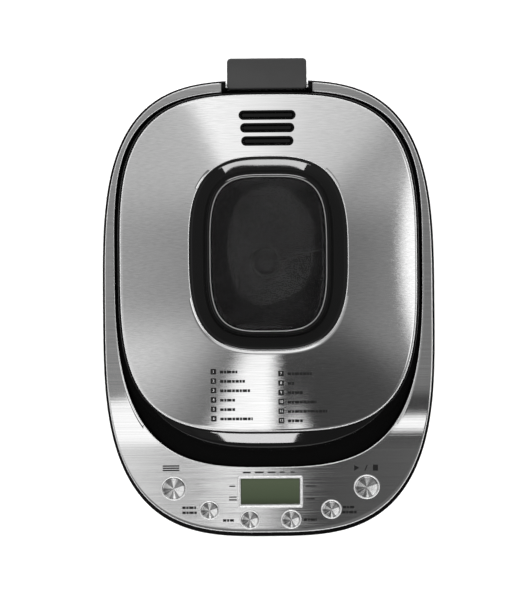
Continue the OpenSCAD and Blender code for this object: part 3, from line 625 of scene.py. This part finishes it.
class Sky:
    """Builds the studio's surround from the direction (u, v) = (x / z, y / z) above the object."""

    def __init__(self):
        world = bpy.data.worlds.new("studio")
        bpy.context.scene.world = world
        world.use_nodes = True
        self.tree = world.node_tree
        coords = self.add("ShaderNodeTexCoord").outputs["Generated"]
        split = self.add("ShaderNodeSeparateXYZ", {0: coords})
        self.x, self.height = split.outputs["X"], split.outputs["Z"]
        up = self.math("MAXIMUM", self.height, 0.05)
        self.u = self.math("DIVIDE", split.outputs["X"], up)
        self.v = self.math("DIVIDE", split.outputs["Y"], up)

    def add(self, kind, inputs=None, **attributes):
        return add_node(self.tree, kind, inputs, **attributes)

    def math(self, operation, a, b):
        return self.add("ShaderNodeMath", {0: a, 1: b}, operation=operation).outputs[0]

    def step(self, value, low, high):
        """0 below low, 1 above high, smooth between; low may be the greater."""
        return self.add("ShaderNodeMapRange", {"Value": value, "From Min": low, "From Max": high},
                        interpolation_type="SMOOTHSTEP").outputs[0]

    def ramp(self, value, low, high, stops):
        """Brightness along a value, given as (value, level) stops."""
        fac = self.add("ShaderNodeMapRange", {"Value": value, "From Min": low, "From Max": high}).outputs[0]
        return add_ramp(self.tree, fac, [((place - low) / (high - low), gray(level / SKY))
                                         for place, level in stops])

    def mix(self, fac, a, b):
        return self.add("ShaderNodeMix", {0: fac, 2: a, 3: b}).outputs[0]

    def card(self, sky, u, v, half_u, half_v, soft, level):
        """Adds a bright oval card with a soft edge."""
        du = self.math("DIVIDE", self.math("SUBTRACT", self.u, u), half_u)
        dv = self.math("DIVIDE", self.math("SUBTRACT", self.v, v), half_v)
        far_out = self.math("ADD", self.math("POWER", self.math("ABSOLUTE", du, 0), 2.4),
                            self.math("POWER", self.math("ABSOLUTE", dv, 0), 2.4))
        return self.mix(self.step(far_out, 1 + soft, 1 - soft), sky, level / SKY)

    def finish(self, sky):
        background = self.tree.nodes["Background"]
        background.inputs["Strength"].default_value = SKY
        self.tree.links.new(sky, background.inputs[0])


def make_world():
    """Dim surround that fans out to the front and the rear, with a tall card at the right."""
    s = Sky()
    level = s.ramp(s.u, -0.4, 0.4, [(-0.4, 0.62), (-0.3, 0.5), (-0.12, 0.38), (0.0, 0.36), (0.1, 0.2),
                                    (0.2, 0.27), (0.4, 0.5)])
    fan = s.math("DIVIDE", s.u, s.math("MAXIMUM", s.v, 0.02))
    rear = s.ramp(fan, -1.5, 1.5, [(-1.5, 0.7), (-0.7, 0.72), (-0.5, 0.8), (-0.42, 1.45), (-0.1, 1.35),
                                   (0.3, 1.0), (0.7, 0.85), (1.0, 0.5), (1.5, 0.6)])
    front_fan = s.math("DIVIDE", s.math("SUBTRACT", s.u, 0.015), s.math("MINIMUM", s.v, -0.02))
    bright = s.ramp(front_fan, 0.0, 1.5, [(0.0, 1.6), (0.3, 1.5), (0.38, 1.4), (0.43, 0.2), (0.6, 0.3),
                                          (0.8, 0.5), (1.0, 0.7), (1.5, 1.0)])
    dark = s.ramp(front_fan, -1.5, 0.0, [(-1.5, 0.5), (-1.1, 0.22), (-0.9, 0.13), (-0.1, 0.1), (0.0, 0.12)])
    front = s.mix(s.step(s.u, 0.018, 0.01), s.math("MULTIPLY", dark, 0.7), bright)
    strips = s.ramp(s.x, -0.06, 0.06, [
        (-0.06, 0.9), (-0.052, 1.25), (-0.044, 0.95), (-0.0385, 0.72), (-0.033, 0.8), (-0.0285, 1.1),
        (-0.0265, 0.9), (-0.0245, 0.15), (-0.0205, 0.12), (-0.0185, 0.9), (-0.0125, 1.5), (-0.0015, 1.25),
        (0.0008, 1.1), (0.0026, 0.12), (0.008, 0.08), (0.018, 0.08), (0.03, 0.14), (0.047, 0.12),
        (0.06, 0.2)])
    front = s.mix(s.step(s.v, -0.5, -0.64), front, strips)  # what the sloping panel reflects
    level = s.mix(s.step(s.v, 0.06, 0.19), level, rear)
    level = s.mix(s.step(s.v, -0.06, -0.2), level, front)
    level = s.card(level, 0.43, 0.02, 0.155, 0.27, 0.14, 1.6)
    level = s.card(level, 0.055, -0.39, 0.03, 0.075, 0.4, 1.6)
    level = s.mix(s.step(s.height, 0.72, 0.6), level, 0.22 / SKY)
    level = s.mix(s.step(s.height, 0.2, 0.02), level, 1.0 / SKY)
    s.finish(level)


def aim(light, target):
    turn = (Vector(target) - light.location).to_track_quat("-Z", "Y")
    light.rotation_euler = turn.to_euler()


def make_key():
    """Broad soft light overhead that doesn't show in reflections."""
    data = bpy.data.lights.new("key", "AREA")
    data.shape = "DISK"
    data.size = 6
    data.energy = 420
    key = new_object("key", data)
    key.location = (0, 0, 4.0)
    aim(key, (0, 0, 0.1))
    key.visible_glossy = False


def make_gloss_card(name, piece, place, size, energy):
    """Light at the front that only one polished black piece of the lid sees."""
    data = bpy.data.lights.new(name, "AREA")
    data.shape = "RECTANGLE"
    data.size, data.size_y = size
    data.energy = energy
    card = new_object(name, data)
    card.location = place
    aim(card, (0, -0.115, 0.27))
    seen_by = bpy.data.collections.new(name + "_pieces")
    seen_by.objects.link(bpy.data.objects[piece])
    card.light_linking.receiver_collection = seen_by


# ---------------------------------------------------------------- lid
def stadium(length, width, centre, count=64):
    r = width / 2
    points = []
    for i in range(count):
        a = 2 * math.pi * (i + 0.5) / count
        side = 1 if math.cos(a) > 0 else -1
        points.append((centre[0] + side * (length / 2 - r) + r * math.cos(a), centre[1] + r * math.sin(a)))
    return points


def lid_cover():
    """Domed steel sheet with rolled edges, a window opening and three vent slots."""
    inner = oval(BEZEL, WINDOW_Y)
    outer = oval(LID, LID_Y)
    roll = 0.9 * MM
    steps = 28

    def row(f, drop):
        """Loop a fraction of the way from the window to the edge, and its fall below the crown."""
        return at_height([between(a, b, f) for a, b in zip(inner, outer)], over(crown_height, -drop))

    loops = [row(-0.002, SHEET), row(0.0, roll * 0.6)]
    loops += [row(mix(0.012, 0.988, k / steps), 0.0) for k in range(steps + 1)]
    loops += [row(0.996, roll * 0.25), row(1.0, roll * 0.75), row(1.0, roll), row(0.985, SHEET + 0.15 * MM)]
    obj = loft("lid_cover_sheet", loops, ring=True, smooth=50)
    slots = [stadium(length, SLOT_W, (0, BODY_Y + at)) for at, length in VENTS]
    cut(obj, [prism("slot", outline, 0.25, CLEAR_Z) for outline in slots])
    shade(obj, 40)
    grain_uv(obj)
    dress(obj, STEEL, "lid", "steel", "lid_cover")
    edge_line("cover_edge_window", BEZEL, WINDOW_Y, -0.45 * MM, crown_height, "lid")
    edge_line("cover_edge_outer", LID, LID_Y, 0.4 * MM, crown_height, "lid")


def edge_line(name, shape, centre_y, inset, surface, body, notch=None):
    """Bright cut edge of a steel sheet, as a thin line along an outline."""
    section = in_mm(((0.0, -0.5), (0.0, 0.02), (0.12, 0.12), (0.38, 0.12), (0.5, 0.02), (0.5, -0.5)))
    loops = [at_height(oval(shape, centre_y, -inset - step), over(surface, lift)) for step, lift in section]
    obj = loft(name, loops, ring=True, smooth=60)
    if notch:
        cut(obj, [notch])
    dress(obj, SILVER, body, "steel")


def lid_frame():
    """Black moulding under the cover, with a thin rim and the sloping grip at the front."""
    edge = oval(LID, LID_Y, 0.15 * MM)
    wall = oval(LID, LID_Y, 1.5 * MM)
    outer, shares = [], []  # the lip's outline, and how much of the lip there is at each point
    for w, p in zip(wall, oval(LIP, LID_Y)):
        reach = max(0.0, math.hypot(p[0], p[1] - LID_Y) - math.hypot(w[0], w[1] - LID_Y))
        shares.append(min(1.0, reach / (6 * MM)))
        outer.append(p if reach > 0 and p[1] < LID_Y else w)

    def slope(f, drop):
        """Loop a fraction of the way out, and its fall from the crown to the lip's foot."""
        row = []
        for e, o, share in zip(edge, outer, shares):
            top = crown_height(*e) - 0.3 * MM
            foot = mix(top - 3.0 * MM, 256.3 * MM, share)
            row.append((*between(e, o, f), mix(top, foot, drop)))
        return row

    loops = [scaled(at_height(edge, over(crown_height, -1.1 * MM)), LID_Y, 0.97),
             at_height(edge, over(crown_height, -1.0 * MM))]
    # A groove under the cover's edge, a flat band, then the round nose
    profile = ((0.0, 0.0), (0.02, 0.03), (0.06, 0.045), (0.09, 0.03), (0.12, 0.036), (0.14, 0.041),
               (0.56, 0.144), (0.58, 0.149), (0.62, 0.165), (0.68, 0.195), (0.76, 0.235), (0.82, 0.33),
               (0.88, 0.47), (0.94, 0.66), (0.98, 0.84), (1.0, 1.0))
    loops += [slope(f, drop) for f, drop in profile]
    under, back = [], []
    for o, w, share in zip(outer, wall, shares):
        z = mix(crown_height(*w) - 6 * MM, 254.2 * MM, share)
        under.append((*o, z))
        back.append((*w, mix(z - 3 * MM, 254.0 * MM, share)))
    loops += [under, back]
    foot = LEDGE_Z + 0.3 * MM
    loops += rings(LID, LID_Y, ((1.5, foot + 0.5 * MM), (1.0, foot), (-1.5, foot), (-2.0, foot + 0.5 * MM),
                                (-2.0, LINER_Z + 8 * MM)))
    loops.append(scaled(loops[-1], LID_Y, 0.97))
    obj = loft("lid_frame_shell", loops, ring=True, smooth=40)
    dress(obj, GLOSS, "lid", "gloss_black", "lid_frame")


def window_bezel():
    """Gloss black funnel from the cover down to the glass."""
    rim = oval(BEZEL, WINDOW_Y, -0.35 * MM)
    view = oval(VIEW, WINDOW_Y)
    glass_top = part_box("window_glass_outer")[1][2]
    foot = 262 * MM

    def row(f, drop):
        """Loop a fraction of the way in, and its fall from the crown to the glass."""
        points = [between(a, b, f) for a, b in zip(rim, view)]
        return [(x, y, mix(crown_height(x, y) + 0.25 * MM, glass_top + 2 * MM, drop)) for x, y in points]

    loops = [at_height(rim, foot), at_height(rim, over(crown_height, -1.2 * MM))]
    # A rolled rim, an evenly sloping face, then the fall to the glass
    profile = ((0.0, 0.02), (0.03, 0.0), (0.08, 0.0), (0.13, 0.015), (0.18, 0.035), (0.2, 0.049),
               (0.64, 0.351), (0.66, 0.365), (0.72, 0.415), (0.8, 0.52), (0.88, 0.67), (0.95, 0.86),
               (1.0, 1.0))
    loops += [row(f, drop) for f, drop in profile]
    loops += rings(VIEW, WINDOW_Y, ((-1.2, glass_top + 1.9 * MM), (-1.6, glass_top + 1.4 * MM),
                                    (-1.6, glass_top + 0.1 * MM), (4.2, glass_top + 0.1 * MM), (4.2, foot)))
    obj = loft("window_bezel_funnel", loops, ring=True, smooth=50)
    dress(obj, GLOSS, "lid", "gloss_black", "window_bezel")


def window_glass():
    """Outer pane with a raised, bevelled face inside the bezel, and the bead round it."""
    low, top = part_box("window_glass_outer")[0][2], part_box("window_glass_outer")[1][2]
    pane = rings(VIEW, WINDOW_Y, ((3.2, low), (3.6, low + 0.5 * MM), (3.6, top - 0.4 * MM), (3.2, top),
                                  (-1.9, top), (-2.3, top + 0.5 * MM), (-3.2, top + 1.2 * MM),
                                  (-4.6, top + 1.7 * MM), (-6.5, top + 1.9 * MM)))
    obj = loft("window_glass_pane", pane, cap_first=True, cap_last=True, smooth=60)
    dress(obj, GLASS, "lid", "glass", "window_glass_outer")
    section = ((1.6, 0.2), (1.65, 1.3), (1.85, 1.6), (2.15, 1.7), (2.45, 1.6), (2.65, 1.3), (2.7, 0.2))
    bead = rings(VIEW, WINDOW_Y, [(-inset, top + lift * MM) for inset, lift in section])
    obj = loft("window_glass_edge", bead, ring=True, smooth=60)
    dress(obj, RIM, "lid", "glass")


def vent_insert():
    """Three polished collars that line the steam slots, each with a plate low inside it."""
    collar = ((0.25, -6), (0.25, 0.1), (0.45, 0.55), (0.9, 0.6), (1.4, 0.2), (1.7, -1.0), (1.9, -6))
    plate = ((2.0, -3.4), (2.0, -2.4), (2.5, -1.9))
    parts = []
    for at, length in VENTS:

        def rows(section, centre=(0, BODY_Y + at), size=length):
            """Loops round the slot, from rows of (inset, lift above the crown)."""
            return [at_height(stadium(size - 2 * inset, SLOT_W - 2 * inset, centre), over(crown_height, lift))
                    for inset, lift in in_mm(section)]

        parts.append(loft("collar", rows(collar), ring=True, smooth=50))
        parts.append(loft("plate", rows(plate), cap_first=True, cap_last=True))
    dress(join("vent_collars", parts), GLOSS, "lid", "gloss_black", "lid_vent_insert")


def hinge_cover():
    """Dark grey cap over the hinge, with soft edges and a slightly bowed rear."""
    (_, front, foot), (half, rear, crown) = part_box("hinge_cover")
    bow = 0.5 * MM

    def outline(inset):
        """Rounded tab seen from above."""
        r = max(3.0 * MM - inset, 0.6 * MM)
        w, d = 2 * (half - inset), rear - front - 2 * inset
        points = []
        for x, y in round_rect(w, d, r, (0, (front + rear) / 2), 96):
            if y > rear - 4 * MM:
                y -= bow * (x / half) ** 2
            points.append((x, y))
        return points

    def top(x, y):
        """Upper face, which falls towards the rear."""
        f = (y - front) / (rear - front)
        return crown - (crown - foot) * 0.42 * f * f

    lower = in_mm(((1.0, 0), (0.2, 0.6), (0, 1.4)))
    upper = in_mm(((0, 1.6), (0.25, 0.75), (0.8, 0.2), (1.6, 0)))
    loops = [at_height(outline(inset), foot + lift) for inset, lift in lower]
    loops += [at_height(outline(inset), over(top, -drop)) for inset, drop in upper]
    obj = loft("hinge_cap", loops, cap_first=True, cap_last=True, smooth=50)
    dress(obj, TAB, "lid", "hinge_plastic", "hinge_cover")


# ---------------------------------------------------------------- deck and control panel
def panel_cutters(grow):
    """Cutters for the holes under the buttons and the display."""
    holes = [(circle(r + 1.1 * MM + grow), x, distance) for x, distance, r in BUTTONS.values()]
    w, d = DISPLAY_W - 2 * MM + 2 * grow, DISPLAY_D - 2 * MM + 2 * grow
    holes.append((round_rect(w, d, 1.2 * MM, count=64), 0, DISPLAY_AT))
    return [prism("hole", outline, -12 * MM, 10 * MM, panel_matrix(x, distance))
            for outline, x, distance in holes]


def box_outline(x0, x1, y0, y1):
    return [(x0, y0), (x1, y0), (x1, y1), (x0, y1)]


def hinge_notch():
    """Cutter for the gap in the steel that the hinge cover fills."""
    half = CHEEK_OUT + 0.2 * MM
    return prism("notch", box_outline(-half, half, 0.13, 0.2), 0.2, CLEAR_Z)


def sheet_wave(x, y):
    """Slight waviness of the panel's sheet, which dies out towards its edges and the bend."""
    middle, width, rise = -54 * MM, 11 * MM, 0.015 * MM
    d = y - BODY_Y
    fade = min(1.0, max(0.0, (BEND_Y - 20 * MM - d) / (40 * MM)))
    lean = 0.15 * (d - DISPLAY_AT)
    return rise * fade * math.exp(-((x - middle - lean) / width) ** 2)


def steel_fascia():
    """Brushed plate round the lid that widens into the control panel."""
    outer = oval(FASCIA, BODY_Y, -0.2 * MM)
    inner = oval(RECESS, RECESS_Y, 0.2 * MM)
    steps = 16

    def moved_out(points, centre_y, amount):
        moved = []
        for x, y in points:
            f = 1 + amount / math.hypot(x, y - centre_y)
            moved.append((x * f, centre_y + (y - centre_y) * f))
        return moved

    near = moved_out(inner, RECESS_Y, 0.7 * MM)
    far = moved_out(outer, BODY_Y, -0.5 * MM)
    loops = [at_height(inner, over(deck_surface, -SHEET)), at_height(inner, over(deck_surface, -0.55 * MM)),
             at_height(near, over(deck_surface, -0.02 * MM))]
    for k in range(1, steps + 1):
        f = k / steps
        share = min(1.0, 4 * f, 6 * (1 - f))  # none at the outer edge
        loops.append(at_height([between(a, b, f) for a, b in zip(near, far)],
                               lambda x, y, s=share: deck_height(y) + s * sheet_wave(x, y)))
    loops += [at_height(outer, over(deck_surface, -0.35 * MM)), at_height(outer, over(deck_surface, -SHEET))]
    obj = loft("fascia_plate", loops, ring=True, smooth=40)
    cut(obj, [hinge_notch()] + panel_cutters(0.0))
    shade(obj, 40)
    grain_uv(obj)
    dress(obj, STEEL, "housing", "steel", "steel_fascia")
    edge_line("fascia_edge_inner", RECESS, RECESS_Y, -0.8 * MM, deck_surface, "housing", hinge_notch())
    edge_line("fascia_edge_outer", FASCIA, BODY_Y, 0.3 * MM, deck_surface, "housing", hinge_notch())


def top_deck():
    """Gloss black rim, skirt and lid recess in one moulding, with the hinge pocket."""
    seat = oval(FASCIA, BODY_Y)
    recess = oval(RECESS, RECESS_Y)
    step = oval(LID, LID_Y, 6 * MM)
    mouth = round_rect(172 * MM, 202 * MM, 31 * MM, (0, OVEN_Y))
    thick = 3 * MM

    def skirt(inset, drop):
        return at_height(oval(BODY, BODY_Y, -inset * MM), over(deck_surface, -drop))

    floor, ledge = [], []  # the recess deepens into the finger recess at the front
    for (rx, ry), (sx, sy) in zip(recess, step):
        gap = math.hypot(rx, ry - LID_Y) - math.hypot(sx, sy - LID_Y)
        z = mix(LEDGE_Z, GRIP_Z, max(0.0, min(1.0, gap / (3 * MM))))
        floor.append((rx, ry, z))
        inner = (sx, sy) if gap > 0 else (rx * 0.99, RECESS_Y + (ry - RECESS_Y) * 0.99)
        ledge.append((*inner, z))
    loops = [skirt(0.4, SEAM_DROP), skirt(0.0, SEAM_DROP - 0.6 * MM), skirt(0.0, 1.3 * MM),
             skirt(0.15, 0.6 * MM), skirt(0.55, 0.12 * MM), skirt(1.0, 0.0),
             at_height(seat, over(deck_surface, -0.05 * MM)), at_height(seat, over(deck_surface, -1.0 * MM)),
             at_height(recess, over(deck_surface, -1.0 * MM)),
             at_height(recess, over(deck_surface, -1.5 * MM)),
             [(x, y, z + 1.5 * MM) for x, y, z in floor], scaled(floor, RECESS_Y, 0.997), ledge,
             [(x, y, LEDGE_Z) for x, y, z in scaled(ledge, LID_Y, 0.999)],
             at_height(mouth, LEDGE_Z), at_height(mouth, LEDGE_Z - thick),
             scaled(ledge, LID_Y, 0.96, -thick), scaled(floor, RECESS_Y, 1.015, -thick),
             skirt(4.0, thick), skirt(2.5, 4 * MM), skirt(2.5, SEAM_DROP)]
    obj = loft("deck_moulding", loops, ring=True, smooth=40)
    notch = prism("notch", box_outline(-CHEEK_IN, CHEEK_IN, BODY_Y + 151.6 * MM, 0.2), POCKET_Z, CLEAR_Z)
    cut(obj, [notch] + panel_cutters(0.1 * MM))
    parts = [obj, hinge_pocket()] + [hinge_cheek(side) for side in (-1, 1)]
    dress(join("deck_moulding", parts), DECK, "housing", "deck", "top_deck")


def hinge_pocket():
    """Open tray behind the lid that the hinge cap swings into."""
    y0, y1 = BODY_Y + 151.5 * MM, BODY_Y + 170.2 * MM
    outer = prism("pocket", box_outline(-CHEEK_OUT, CHEEK_OUT, y0, y1), POCKET_Z - 2.5 * MM, LEDGE_Z)
    inside = box_outline(-CHEEK_IN, CHEEK_IN, y0 + 2.5 * MM, y1 + 0.01)
    cut(outer, [prism("inside", inside, POCKET_Z, CLEAR_Z)])
    bevel(outer, 0.4 * MM)
    return outer


def hinge_cheek(side):
    """Ear that holds one end of the hinge pin."""
    r = 4.6 * MM
    foot = POCKET_Z - 2.5 * MM
    rear = BODY_Y + 171.5 * MM
    profile = [(rear, foot), (rear, HINGE_Z), (HINGE_Y + r, HINGE_Z)]
    for i in range(13):
        a = math.pi * i / 12
        profile.append((HINGE_Y + r * math.cos(a), HINGE_Z + r * math.sin(a)))
    profile += [(HINGE_Y - 3 * MM, HINGE_Z - 3 * MM), (HINGE_Y - 3 * MM, foot)]
    x0, x1 = sorted((side * CHEEK_IN, side * CHEEK_OUT))
    obj = loft("cheek", [[(x0, y, z) for y, z in profile], [(x1, y, z) for y, z in profile]],
               cap_first=True, cap_last=True)
    bevel(obj, 0.4 * MM)
    return obj


def buttons():
    """Spun caps, each in a bright ring."""
    trims = []
    section = in_mm(((0.25, 0.3), (0.35, 0.62), (0.7, 0.82), (1.1, 0.7), (1.5, 0.35), (1.6, 0.06),
                     (1.0, 0.05), (1.0, -4), (0.25, -4), (0.25, 0.3)))
    for name, (x, distance, r) in BUTTONS.items():
        place = panel_matrix(x, distance)
        cap = [(0, 0.92 * MM), (r * 0.25, 0.93 * MM), (r * 0.5, 0.98 * MM), (r * 0.75, 1.06 * MM),
               (r - 0.75 * MM, 1.16 * MM), (r - 0.45 * MM, 1.2 * MM), (r - 0.15 * MM, 1.08 * MM),
               (r, 0.75 * MM), (r, -6 * MM), (2.2 * MM, -6 * MM), (2.2 * MM, -8.8 * MM),
               (2.0 * MM, -9 * MM), (0, -9 * MM)]
        obj = lathe("cap_" + name, cap, place, smooth=50)
        dress(obj, SPUN, name + "_key", "button_metal", "button_" + name)
        trims.append(lathe("ring", [(r + out, z) for out, z in section], place, smooth=50))
    dress(join("button_trim_rings", trims), SILVER, "housing", "silver", "button_rings")


def display():
    """Silver frame round a blank grey-green display."""
    place = panel_matrix(0, DISPLAY_AT)

    def rows(section):
        """Loops from rows of (inset, height)."""
        loops = []
        for inset, z in in_mm(section):
            r = max(1.6 * MM - inset, 0.3 * MM)
            loops.append(at_height(round_rect(DISPLAY_W - 2 * inset, DISPLAY_D - 2 * inset, r, count=96), z))
        return loops

    trim = rows(((0, 0.06), (0, 0.45), (0.25, 0.8), (0.7, 1.0), (1.3, 1.0), (1.8, 0.75), (2.3, 0.1),
                 (2.55, -0.5), (2.55, -4), (1.3, -4), (1.3, 0.05)))
    obj = loft("display_frame", trim, ring=True, smooth=40)
    obj.matrix_world = place
    dress(obj, SILVER, "housing", "silver", "display_bezel")
    lens = rows(((2.75, -1.7), (2.75, -0.95), (3.0, -0.7)))
    obj = loft("display_window", lens, cap_first=True, cap_last=True)
    obj.matrix_world = place
    dress(obj, display_face("display_face"), "housing", "display_glass", "display_lens")


# ---------------------------------------------------------------- housing
def facing_rear(x, distance, z, turn=math.pi / 2):
    """Stands an outline or a profile up to face along y."""
    return Matrix.Translation((x, BODY_Y + distance, z)) @ Matrix.Rotation(turn, 4, "X")


def body_shell():
    """Tapered side wall with rear louvres and a boss for the cord gland."""
    base = 0.4 * MM + TRAY_TOP
    taper = 6 * MM
    wall = 165 * MM  # middle of the rear wall's cuts
    hole_r = 7.1 * MM

    def row(inset, z, follow_seam=False):
        result = []
        for x, y in oval(BODY, BODY_Y, -inset):
            height = deck_height(y) - SEAM_DROP - z if follow_seam else z
            f = 1 - taper / BODY[0] * (1 - (height - base) / (DECK_Z - base))
            result.append((x * f, BODY_Y + (y - BODY_Y) * f, height))
        return result

    loops = [row(0.5 * MM, base), row(0.0, base + 0.6 * MM), row(0.0, 90 * MM), row(0.0, 150 * MM),
             row(0.0, 1.0 * MM, True), row(0.5 * MM, 0.35 * MM, True), row(2.5 * MM, 0.35 * MM, True),
             row(2.5 * MM, 150 * MM), row(2.5 * MM, base)]
    obj = loft("side_wall", loops, ring=True, smooth=40)
    cutters = [prism("louvre", stadium(80 * MM, 3 * MM, (0, (93.5 + 7 * i) * MM)), -0.03, 0.03,
                     facing_rear(0, wall, 0)) for i in range(9)]
    low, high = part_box("cord_gland")
    gx, gz = (low[0] + high[0]) / 2, (low[2] + high[2]) / 2
    cutters.append(prism("hole", circle(hole_r), -0.03, 0.03, facing_rear(gx, wall, gz)))
    cut(obj, cutters)
    shade(obj, 40)
    boss = lathe("boss", [(hole_r, 9.3 * MM), (hole_r, 0), (11 * MM, 0), (11 * MM, 8.9 * MM),
                          (10.6 * MM, 9.3 * MM), (hole_r, 9.3 * MM)],
                 facing_rear(gx, 156 * MM, gz, -math.pi / 2))
    dress(join("side_wall", [obj, boss]), HOUSING, "housing", "housing", "body_shell")


def base_tray():
    """Shallow tray that closes the housing below, with air slots."""
    loops = rings(BODY, BODY_Y, ((-9.5, TRAY_Z + 2.5 * MM), (-9.5, TRAY_TOP), (-7.4, TRAY_TOP),
                                 (-7.0, TRAY_TOP - 0.4 * MM), (-7.0, TRAY_Z + 4 * MM),
                                 (-7.5, TRAY_Z + 1.8 * MM), (-8.6, TRAY_Z + 0.5 * MM), (-10.2, TRAY_Z)))
    obj = loft("tray", loops, cap_first=True, cap_last=True, smooth=50)
    motor_y = BODY_Y - 112 * MM
    slots = []
    for i in range(-3, 4):
        step = i * 9 * MM
        for length, x, y in ((44 * MM, 0, motor_y), (40 * MM, -48 * MM, OVEN_Y), (40 * MM, 48 * MM, OVEN_Y)):
            slots.append(prism("slot", stadium(length, 4 * MM, (x, y + step)), -0.01, 0.02))
    cut(obj, slots)
    shade(obj, 40)
    dress(obj, HOUSING, "housing", "housing", "base_tray")


def feet():
    """Round rubber feet, each with a stud into the tray."""
    tread = in_mm(((0, 1.2), (5.5, 1.2), (6.2, 0.2), (7.2, 0), (8.4, 0), (9.1, 0.5), (9.5, 2), (10.3, 5.4)))
    stud = in_mm(((10.3, 0), (3.8, 0), (3.8, 2.6), (5.4, 2.7), (5.2, 4.6), (0, 4.6)))
    profile = tread + [(r, TRAY_Z + z) for r, z in stud]
    parts = []
    for x in (-85 * MM, 85 * MM):
        for y in (-115 * MM, 115 * MM):
            parts.append(lathe("foot", profile, Matrix.Translation((x, BODY_Y + y, 0)), 64))
    dress(join("feet", parts), RUBBER, "housing", "rubber", "rubber_feet")


# ---------------------------------------------------------------- legends
def on_sheet(x, y):
    return deck_height(y) + sheet_wave(x, y)


def stamp(outline, surface):
    """Ink laid over a surface."""
    return loft("stamp", [at_height(outline, over(surface, -0.1 * MM)),
                          at_height(outline, over(surface, 0.05 * MM))], cap_last=True)


def word_bars(x, y, length, height, surface):
    """Row of short bars that stands for a word, centred at a height y, from x to the right."""
    parts = []
    at, k = x, 0
    while at < x + length - 0.8 * MM:
        width = min((2.6, 1.7, 3.4, 2.1)[k % 4] * MM, x + length - at)
        parts.append(stamp(box_outline(at, at + width, y - height / 2, y + height / 2), surface))
        at += width + 0.45 * MM
        k += 1
    return parts


def digits(text, x, y, height, surface, lift):
    """Number centred on a place and laid over a surface."""
    curve = bpy.data.curves.new("digits", "FONT")
    curve.body = text
    curve.size = height * 1.35
    curve.align_x = "CENTER"
    curve.align_y = "CENTER"
    flat = new_object("digits", curve)
    bpy.context.view_layer.update()
    mesh = bpy.data.meshes.new_from_object(flat)
    bpy.data.objects.remove(flat)
    for v in mesh.vertices:
        v.co.x += x
        v.co.y += y
        v.co.z = surface(v.co.x, v.co.y) + lift
    return new_object("digits", mesh)


def lid_legends():
    """Two columns of numbered badges, each with bars in place of a word."""
    badge, pitch = 4.2 * MM, 7.06 * MM
    columns = ((-41.9, -54.5, (13.1, 18.7, 22.5, 11.7, 11.2, 24.3)),
               (8.7, -56.3, (18.0, 6.0, 11.7, 21.5, 29.5, 11.7)))
    ink, numbers = [], []
    for column, (x, y0, lengths) in enumerate(columns):
        for row, length in enumerate(lengths):
            at, y = x * MM, y0 * MM - pitch * row
            outline = round_rect(badge, badge, 0.5 * MM, (at, y), 32)
            ink.append(stamp(outline, crown_height))
            ink += word_bars(at + 4.9 * MM, y - 0.3 * MM, length * MM, 2.1 * MM, crown_height)
            numbers.append(digits(str(6 * column + row + 1), at, y, 2.1 * MM, crown_height, 0.09 * MM))
    dress(join("lid_legend_ink", ink), INK, "lid", "gloss_black")
    dress(join("lid_legend_numbers", numbers), SILVER, "lid", "steel")


def panel_legends():
    """Menu and start/stop signs over the large buttons, and bars beside the rest."""
    bars = []

    def bar(x, distance, width, height=1.0):
        y = BODY_Y + distance * MM
        bars.append(stamp(box_outline((x - width / 2) * MM, (x + width / 2) * MM, y - height / 2 * MM,
                                      y + height / 2 * MM), on_sheet))

    for line in (-1.7, 0, 1.7):
        bar(-75.0, -119.4 + line, 12.6)
    x, y, h = 72.6 * MM, BODY_Y - 120.3 * MM, 2.3 * MM
    bars.append(stamp([(x - 9 * MM, y - h), (x - 5.2 * MM, y), (x - 9 * MM, y + h)], on_sheet))
    bars.append(stamp([(x - 1.3 * MM, y - h), (x - 0.5 * MM, y - h), (x + 1.3 * MM, y + h),
                       (x + 0.5 * MM, y + h)], on_sheet))
    bars.append(stamp(box_outline(x + 5.2 * MM, x + 9 * MM, y - h, y + h), on_sheet))
    for x, distance, length in ((-67.0, -150.1, 10.5), (-67.0, -154.0, 11.0), (55.0, -150.6, 9.0),
                                (54.5, -154.6, 11.0), (-36.2, -160.2, 8.3), (25.2, -160.2, 10.0)):
        bars += word_bars(x * MM, BODY_Y + distance * MM, length * MM, 1.9 * MM, on_sheet)
    for x, width in ((-17.7, 6.0), (-8.3, 6.8), (1.1, 6.0), (9.1, 3.8), (17.0, 3.0)):
        bar(x, -123.2, width, 1.1)
    for x, distance, width in ((-28.8, -133.7, 4.5), (-28.4, -142.1, 5.6), (-28.4, -144.3, 6.0),
                               (30.8, -134.0, 8.3), (30.3, -144.0, 6.8)):
        bar(x, distance, width, 0.9)
    dress(join("panel_legend_ink", bars), INK, "housing", "black_part")


# ---------------------------------------------------------------- build
make_camera()
make_floor()
make_world()
make_key()
dress_cad_nodes()
lid_cover()
lid_frame()
window_bezel()
window_glass()
vent_insert()
hinge_cover()
steel_fascia()
top_deck()
buttons()
display()
body_shell()
base_tray()
feet()
lid_legends()
panel_legends()
make_gloss_card("lip_card", "lid_frame_shell", (-0.05, -0.63, 1.12), (0.27, 0.22), 15)
make_gloss_card("bezel_card", "window_bezel_funnel", (0.05, -0.6, 1.1), (0.62, 0.3), 40)

scene = bpy.context.scene
scene.view_settings.view_transform = "Standard"
